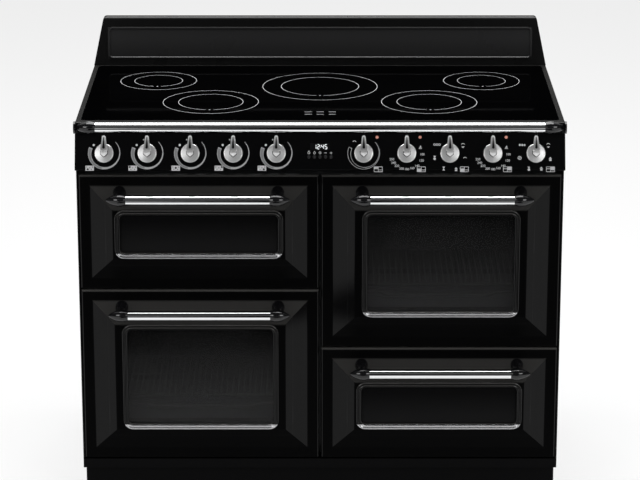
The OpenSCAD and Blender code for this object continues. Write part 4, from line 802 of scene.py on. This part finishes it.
def function_sign(shape, place, x, y, kind):
    """A small sign for a way of cooking, made of plain dots, bars, arcs and wedges."""
    at = place @ moved(x, y)
    if kind in ("rings", "diamonds"):
        for dx in (-0.0054, 0, 0.0054):
            if kind == "rings":
                thin_arc(shape, at @ moved(dx, 0), 0, whole_turn, 0.0021, 0.0012, 24)
            else:
                flat_form(shape, [(dx - 0.0027, 0), (dx, -0.003), (dx + 0.0027, 0), (dx, 0.003)], at)
    if kind == "lamp":
        flat_form(shape, [(-0.003, 0.0046), (0, 0.0006), (0.003, 0.0046)], at)
        round_dot(shape, at, 0, -0.0018, 0.0029)
    if kind == "hourglass":
        flat_form(shape, [(-0.0031, 0.0043), (-0.0006, 0), (0.0006, 0), (0.0031, 0.0043)], at)
        flat_form(shape, [(-0.0031, -0.0043), (0.0031, -0.0043), (0.0006, -0.0002), (-0.0006, -0.0002)], at)
    if kind == "roof":
        flat_form(shape, [(-0.0036, 0.0004), (0.0036, 0.0004), (0, 0.0048)], at)
        patch(shape, at, -0.0027, -0.0042, 0.0027, -0.0005)
    if kind == "peak":
        flat_form(shape, [(-0.0026, -0.0016), (0.0026, -0.0016), (0.0012, 0.0038)], at)
        strip(shape, at, -0.0036, -0.0034, 0.0036, -0.0034, 0.0014)
    if kind in ("arc", "arc_wedge"):
        thin_arc(shape, at, math.radians(25), math.radians(155), 0.004, 0.0013, 24)
    if kind == "arc_wedge":
        flat_form(shape, [(-0.0036, -0.0028), (0, -0.0062), (0.0036, -0.0028)], at)
    if kind == "fan":
        round_dot(shape, at, 0, 0, 0.0013)
        thin_arc(shape, at, 0, whole_turn, 0.0038, 0.0011, 32)
        for turn in range(4):
            blade = at @ Matrix.Rotation(turn * math.pi / 2 + 0.4, 4, "Z")
            flat_form(shape, [(0.001, 0), (0.0031, -0.001), (0.0033, 0.001)], blade)


# Each mark's place is in millimetres from its knob's axis, across and up the panel
heat_marks = [("100", 34.9, -2.6), ("120", 33.0, -16.7), ("140", 23.0, -28.5), ("160", 11.9, -33.8),
              ("180", 0.2, -36.2), ("200", -11.9, -34.8), ("220", -22.3, -28.6), ("240", -29.6, -21.8),
              ("250", -33.4, -13.8)]
signs_by_knob = {
    6: [("arc", -20.8, 24.0)],
    7: [("peak", 30.3, 14.0)],
    8: [("rings", -28.6, 19.4), ("lamp", -34.0, -10.6), ("hourglass", -13.8, -34.4), ("roof", 14.0, -36.0),
        ("arc_wedge", 29.6, 18.0), ("arc", 34.0, -13.0)],
    9: [("peak", 30.3, 14.0)],
    10: [("diamonds", -30.6, 18.5), ("fan", -36.5, -10.6), ("lamp", -16.0, -35.0), ("roof", 12.0, -35.0),
         ("roof", 32.4, -13.0), ("arc_wedge", 28.0, 18.0)]}
grill_cell = (-0.0092, 0.0012, 0, 0.0056)
main_cell = (-0.0092, -0.0056, 0, 0.0012)
second_cell = (0, -0.0014, 0.0092, 0.0056)
cell_by_knob = {6: grill_cell, 7: main_cell, 8: main_cell, 9: second_cell, 10: second_cell}

marks, dials, dial_shades, dark_marks, figures = [bmesh.new() for piece in range(5)]
for i, x in enumerate(knob_xs, start=1):
    place = on_panel(x, knob_v, print_lift)
    if i <= 6:
        dial_wedge(dials, place, i < 6)
    if i <= 5:
        dial_shade(dial_shades, place)
        round_dot(marks, place, -0.0235, 0.0185, 0.0026)
        zone_sign(marks, dark_marks, place, -0.0322, -0.0337, (1, 0, 2, 4, 3)[i - 1])
        if i > 1:
            round_dot(marks, place, -0.008, 0.0305, 0.0017)
    else:
        compartment_sign(marks, place, 0.0325, -0.0362, cell_by_knob[i])
    for kind, dx, dy in signs_by_knob.get(i, []):
        function_sign(marks, place, dx / 1000, dy / 1000, kind)
    if i in (7, 9):
        for text, dx, dy in heat_marks:
            number(figures, text, place @ moved(dx / 1000, dy / 1000))
# Signs over the five buttons: alarm, length, end, less and more
button_pitch = 0.0124
timer_sign_v = 0.0418
for i in range(5):
    place = on_panel((i - 2) * button_pitch, timer_sign_v, print_lift)
    if i < 3:
        thin_arc(marks, place, 0, whole_turn, 0.0024, 0.001, 24)
    if i == 0:
        round_dot(marks, place, 0, 0.0036, 0.0012)
    if i in (1, 2):
        strip(marks, place, 0, 0.0024, 0, 0.004, 0.0012)
    if i == 2:
        strip(marks, place, 0, 0, 0.0016, 0)
    if i > 2:
        strip(marks, place, -0.0028, 0, 0.0028, 0, 0.0013)
    if i == 4:
        strip(marks, place, 0, -0.0028, 0, 0.0028, 0.0013)
print_grey = printed("print_grey", (0.5, 0.5, 0.51))
new_piece("panel_marks", marks, print_grey, "cabinet")
new_piece("panel_dials", dials, printed("dial_grey", (0.34, 0.34, 0.35)), "cabinet")
new_piece("panel_dial_shades", dial_shades, printed("shade_grey", (0.17, 0.17, 0.175)), "cabinet")
new_piece("panel_numbers", figures, print_grey, "cabinet")
print_black = printed("print_black", (0.006, 0.006, 0.006), 0.4)
new_piece("panel_dark_marks", dark_marks, print_black, "cabinet")

# The clock's figures glow behind the display's dark window: each segment from one end to the other,
# in shares of a figure's width and height
segments = {"a": (0, 1, 1, 1), "b": (1, 1, 1, 0.5), "c": (1, 0.5, 1, 0), "d": (0, 0, 1, 0), "e": (0, 0, 0, 0.5),
            "f": (0, 0.5, 0, 1), "g": (0, 0.5, 1, 0.5)}
lit_segments = {"1": "bc", "2": "abged", "4": "fgbc", "5": "afgcd"}
clock_face_lift = 0.00025
clock_x = 0.0005
clock_v = 0.0506
digit_w = 0.0048
digit_h = 0.0098
digit_xs = (-0.0142, -0.0066, 0.0028, 0.0104)
segment_w = 0.0013
joint_gap = 0.0006
colon_heights = (0.0032, 0.0066)
colon_dot = 0.0008
shape = bmesh.new()
for digit, x in zip("1245", digit_xs):
    for name in lit_segments[digit]:
        x0, y0, x1, y1 = segments[name]
        dx, dy = (x1 - x0) * joint_gap, (y1 - y0) * 2 * joint_gap
        strip(shape, on_panel(clock_x + x, clock_v, clock_face_lift), x0 * digit_w + dx, y0 * digit_h + dy,
              x1 * digit_w - dx, y1 * digit_h - dy, segment_w)
for y in colon_heights:
    round_dot(shape, on_panel(clock_x, clock_v, clock_face_lift), 0, y, colon_dot)
clock_glow = glowing("clock_glow", (0.86, 0.88, 0.9), 0.3, 900.0, 0.55)
new_piece("clock_figures", shape, clock_glow, "cabinet")


# ---- Knobs ----
# Die-cast levers on round skirts with a satin nickel finish, each pushed on to its switch's spindle.
# A black strip lies in the slot along the lever's ridge: painted shade in the slot.

knob_nickel = worked("knob_nickel", (0.82, 0.82, 0.82), 0.36, (70.0, 900.0, 900.0), 0.05, 0.000002)[0]
dress(knob_nickel, *[f"knob_{i}" for i in range(1, 11)])

# The painted slot shade lies in the lever's sloping ridge: each end's distance from the axis, and height over
# the panel
slot_shade_root = (0.0112, 0.01808)
slot_shade_tip = (0.0345, 0.01305)
slot_shade_root_half = 0.0028
slot_shade_tip_half = 0.0006
slot_shade_t = 0.001
slot_shade_sunk = 0.0009
# Black that stands in for the shade in the lever's slot and round its root: painted shade
painted_shade_black = enamelled("painted_shade_black", (0.004, 0.004, 0.0042), 0.4, grains=900.0, mottle=0.3, dust_and_painted_light=0.0,
                        depth=0.00001, shine=0.2)
# A black line of painted shadow follows the lever's shield-shaped root on the skirt: from its shoulder by its
# side to its point
root_shade_w = 0.0011
shoulder_y = 0.0045
skirt_top = 0.008
root_side = (0.0081, -0.0029)
root_point = (0.0, -0.0098)
ridge = math.atan2(slot_shade_tip[1] - slot_shade_root[1], slot_shade_tip[0] - slot_shade_root[0])
slot_shade_l = math.hypot(slot_shade_tip[0] - slot_shade_root[0], slot_shade_tip[1] - slot_shade_root[1])
outline = [(slot_shade_root_half * math.cos(a), slot_shade_root_half * math.sin(a))
           for a in [math.pi + math.pi * i / 10 for i in range(11)]]
outline += [(slot_shade_tip_half * math.cos(a), slot_shade_l + slot_shade_tip_half * math.sin(a))
            for a in [math.pi * i / 8 for i in range(9)]]
for i, x in enumerate(knob_xs, start=1):
    shape = bmesh.new()
    place = on_panel(x, knob_v + slot_shade_root[0], slot_shade_root[1]) @ Matrix.Rotation(ridge, 4, "X")
    flat_form(shape, outline, place @ moved(0, 0, -slot_shade_sunk), slot_shade_t)
    skirt = on_panel(x, knob_v, skirt_top + print_lift)
    for side in (-1, 1):
        strip(shape, skirt, side * root_side[0], shoulder_y, side * root_side[0], root_side[1], root_shade_w)
        strip(shape, skirt, side * root_side[0], root_side[1], *root_point, root_shade_w)
    new_piece(f"knob_painted_shade_{i}", shape, painted_shade_black, f"knob_{i}")


# ---- Doors and drawer ----
# Each front is one deep pressing with mitred slopes round a raised centre, fired black, over a steel liner.
# The tall doors have an outer and an inner pane; the hinges turn on pins low in each corner.

# The strong pale grey on up-facing faces here is painted light: it makes the top slopes and edges look lit
door_enamel = enamelled("door_enamel", (0.0012, 0.0012, 0.0013), 0.3, grains=40.0, dust_and_painted_light=0.15, depth=0.00003,
                        shine=0.02)
tree = door_enamel.node_tree
door_shader = tree.nodes["Principled BSDF"]
door_shader.inputs["Coat Roughness"].default_value = 0.06
# The gloss shows on what faces up, less on what faces aside, and a little on the bead round each field
lit_faces = place_effect(door_enamel, facing_mask, Up_from=0.1, Up_to=0.7, Side_from=0.2, Side_to=0.4)
bead_depths = (-0.3, -0.2811)
field_depths = (-0.2753, -0.2747)
bead = between(door_enamel, along_y, *bead_depths)
field = between(door_enamel, along_y, *field_depths)
gloss = sum_node(tree, "MULTIPLY_ADD", bead, 0.15, lit_faces.outputs["Up"])
gloss = sum_node(tree, "MULTIPLY_ADD", lit_faces.outputs["Side"], 0.4, gloss, clamp=True)
# Pressing rounds every fold a little
fold = tree.nodes.new("ShaderNodeBevel")
fold.samples = 4
fold.inputs["Radius"].default_value = 0.004
# Painted sheen: every field is painted a lighter black, a little all over, and the short fronts' fields most
# towards their foot
field_spans = ((0.186, 0.278), (0.598, 0.69))
field_sheen_share = sum_node(tree, "MAXIMUM", fading_up(door_enamel, *field_spans), 0.2)
black = mix_colours(tree, sum_node(tree, "MULTIPLY", field_sheen_share, field),
                    door_shader.inputs["Base Color"].links[0].from_socket, (0.0085, 0.0085, 0.0087))
# Below each field the bead's lower run is painted as pale bright metal, a painted highlight on the black bead:
# its two heights, and how far it reaches to the right
lower_bead_highlight_runs = ((0.1738, 0.1862, 0.5), (0.4458, 0.4582, 0.5), (0.5858, 0.5982, 0.0))
lower_bead_highlight = 0.0
for low, high, right_end in lower_bead_highlight_runs:
    run = between(door_enamel, along_z, low, high)
    lower_bead_highlight = sum_node(tree, "MULTIPLY_ADD", run, between(door_enamel, along_x, -0.5, right_end), lower_bead_highlight)
lower_bead_highlight = sum_node(tree, "MULTIPLY", lower_bead_highlight, bead)
rough = sum_node(tree, "MULTIPLY", door_shader.inputs["Roughness"].links[0].from_socket,
                 sum_node(tree, "MULTIPLY_ADD", lower_bead_highlight, -0.9, 1.0))
join(tree, (gloss, door_shader.inputs["Coat Weight"]),
     (fold.outputs["Normal"], door_shader.inputs["Normal"].links[0].from_node.inputs["Normal"]),
     (mix_colours(tree, lower_bead_highlight, black, (0.5, 0.5, 0.51)), door_shader.inputs["Base Color"]),
     (lower_bead_highlight, door_shader.inputs["Metallic"]), (rough, door_shader.inputs["Roughness"]))
dress(door_enamel, "grill_door_panel", "main_door_panel", "second_door_panel", "drawer_front")

liner_enamel = flecked("liner_enamel", (0.02, 0.02, 0.024), (0.12, 0.12, 0.13), 0.3, 600.0, 0.15)
dress(liner_enamel, "grill_door_liner", "main_door_liner", "second_door_liner")
# Painted light: the grey tint of the panes thins out downwards, so the windows look lit low down
pane_grey = (0.12, 0.12, 0.122)
pane_glass, pane_shader = new_finish("pane_glass", pane_grey, 0.0, Transmission_Weight=0.978, IOR=1.12)
pane_wipe = place_effect(pane_glass, fired_enamel, Colour=(*pane_grey, 1), Grains=20.0, Mottle=0.05, Dust=0.0)
windows = ((0.172, 0.43), (0.444, 0.702))
tree = pane_glass.node_tree
tree.links.new(mix_colours(tree, fading_up(pane_glass, *windows), pane_wipe.outputs["Colour"], (0.5, 0.5, 0.5)),
               pane_shader.inputs["Base Color"])
dress(pane_glass, "main_door_glass", "second_door_glass")
hinge_zinc = worked("hinge_zinc", (0.6, 0.6, 0.58), 0.35, (30.0, 30.0, 30.0), 0.25)
dress(hinge_zinc[0], "grill_door_hinges", "main_door_hinges", "second_door_hinges")
drawer_paint = enamelled("drawer_paint", (0.03, 0.031, 0.034), 0.4, grains=800.0, depth=0.00003)
dress(drawer_paint, "drawer_box")


# ---- Floor, light and camera ----
# A pale studio floor under a white ceiling, with soft lamps above, behind, at both sides and high in front.
# In mirrors the room in front of the cooker is dark, as a studio is behind its camera.

def mix_shaders(tree, share, first, second):
    """A share of the second shader over the first."""
    node = tree.nodes.new("ShaderNodeMixShader")
    join(tree, *zip((share, first, second), node.inputs))
    return node.outputs[0]


def seen_straight(path):
    """Whether a ray comes from the camera, or through glass."""
    return sum_node(path.id_data, "MAXIMUM", path.outputs["Is Camera Ray"], path.outputs["Is Transmission Ray"])


floor_mesh = bpy.data.meshes.new("floor")
shape = bmesh.new()
bmesh.ops.create_circle(shape, cap_ends=True, segments=64, radius=60)
shape.to_mesh(floor_mesh)
shape.free()
floor_piece = bpy.data.objects.new("floor", floor_mesh)
bpy.context.scene.collection.objects.link(floor_piece)
floor_pale, floor_shader = new_finish("floor_pale", (0.85, 0.85, 0.85), 0.9, Specular_IOR_Level=0.0)
tree = floor_pale.node_tree
# A stretch of floor well in front of the cooker is dark in mirrors; the rest shows there as the camera sees it
path = tree.nodes.new("ShaderNodeLightPath")
floor_place = split(tree, own_place(tree))
near = smooth_step(tree, floor_place["Y"], -1.38, -1.24)
aside = smooth_step(tree, sum_node(tree, "ABSOLUTE", floor_place["X"]), 0.85, 1.0)
lit_floor = sum_node(tree, "MAXIMUM", near, aside)
dark_floor = sum_node(tree, "SUBTRACT", 1.0, lit_floor)
far_mirror = sum_node(tree, "MULTIPLY", path.outputs["Is Glossy Ray"], dark_floor)
seen = sum_node(tree, "MAXIMUM", seen_straight(path), path.outputs["Is Glossy Ray"])
glow = tree.nodes.new("ShaderNodeEmission")
dark = tree.nodes.new("ShaderNodeEmission")
dark.inputs["Strength"].default_value = 0.003
pale = mix_shaders(tree, sum_node(tree, "MULTIPLY", seen, 0.75), floor_shader.outputs[0], glow.outputs[0])
tree.links.new(mix_shaders(tree, far_mirror, pale, dark.outputs[0]),
               tree.nodes["Material Output"].inputs["Surface"])
floor_mesh.materials.append(floor_pale)

scene = bpy.context.scene
world = bpy.data.worlds.new("studio")
scene.world = world
world.use_nodes = True
tree = world.node_tree
fill = tree.nodes["Background"]
fill.inputs["Color"].default_value = (1, 1, 1, 1)
fill.inputs["Strength"].default_value = 0.35
backdrop = tree.nodes.new("ShaderNodeBackground")
backdrop.inputs["Strength"].default_value = 1.0
mirrored = tree.nodes.new("ShaderNodeBackground")
toward = split(tree, tree.nodes.new("ShaderNodeTexCoord").outputs["Generated"])
# White overhead and behind; grey in front, black low behind, so that the hob mirrors nothing
ceiling_slope = 0.567
overhead = sum_node(tree, "MULTIPLY_ADD", toward["Y"], ceiling_slope, toward["Z"])
ceiling = smooth_step(tree, overhead, 0.86, 0.94)
behind = smooth_step(tree, toward["Y"], -0.3, 0.3)
over_horizon = smooth_step(tree, toward["Z"], 0.26, 0.36)
under_ceiling = smooth_step(tree, toward["Z"], 0.82, 0.72)
front_wall = mix_colours(tree, sum_node(tree, "MULTIPLY", over_horizon, under_ceiling),
                         (0.002, 0.002, 0.002), (0.075, 0.075, 0.075))
walls = mix_colours(tree, behind, front_wall, (0.004, 0.004, 0.004))
path = tree.nodes.new("ShaderNodeLightPath")
tree.links.new(mix_colours(tree, ceiling, walls, (1.0, 1.0, 1.0)), mirrored.inputs["Color"])
studio = mix_shaders(tree, path.outputs["Is Glossy Ray"], fill.outputs[0], mirrored.outputs[0])
studio = mix_shaders(tree, seen_straight(path), studio, backdrop.outputs[0])
tree.links.new(studio, tree.nodes["World Output"].inputs["Surface"])


def softbox(name, place, target, width, height, power, mirrored_in_gloss=True):
    """A soft rectangular lamp that faces a point."""
    lamp = bpy.data.lights.new(name, "AREA")
    lamp.shape = "RECTANGLE"
    lamp.size = width
    lamp.size_y = height
    lamp.energy = power
    holder = hang_lamp(lamp, place)
    holder.visible_glossy = mirrored_in_gloss
    holder.rotation_euler = (Vector(target) - Vector(place)).to_track_quat("-Z", "Y").to_euler()


softbox("overhead", (0, 0.1, 3.3), (0, 0, 0.9), 2.6, 1.4, 75)
softbox("front_left", (-2.4, -3.6, 2.3), (0, 0, 0.7), 1.6, 1.4, 38)
softbox("front_right", (2.4, -3.6, 2.3), (0, 0, 0.7), 1.6, 1.4, 38)
softbox("left", (-3.4, -0.8, 1.9), (0, 0, 0.5), 1.6, 1.8, 35, False)
softbox("right", (3.4, -0.8, 1.9), (0, 0, 0.5), 1.6, 1.8, 35, False)
softbox("rear", (0, 3.0, 3.6), (0, 0, 0.5), 2.4, 1.4, 60)

# The focal length and the width of the picture are in pixels, and the pitch is in degrees below level
focal_px = 2761
picture_px = 640
pitch = 16.77
camera = bpy.data.cameras.new("camera")
camera.sensor_width = 36
camera.lens = focal_px / picture_px * camera.sensor_width
eye = bpy.data.objects.new("camera", camera)
scene.collection.objects.link(eye)
eye.location = (0, -6.263, 2.433)
eye.rotation_euler = (math.radians(90 - pitch), 0, 0)
scene.camera = eye
scene.view_settings.view_transform = "Standard"
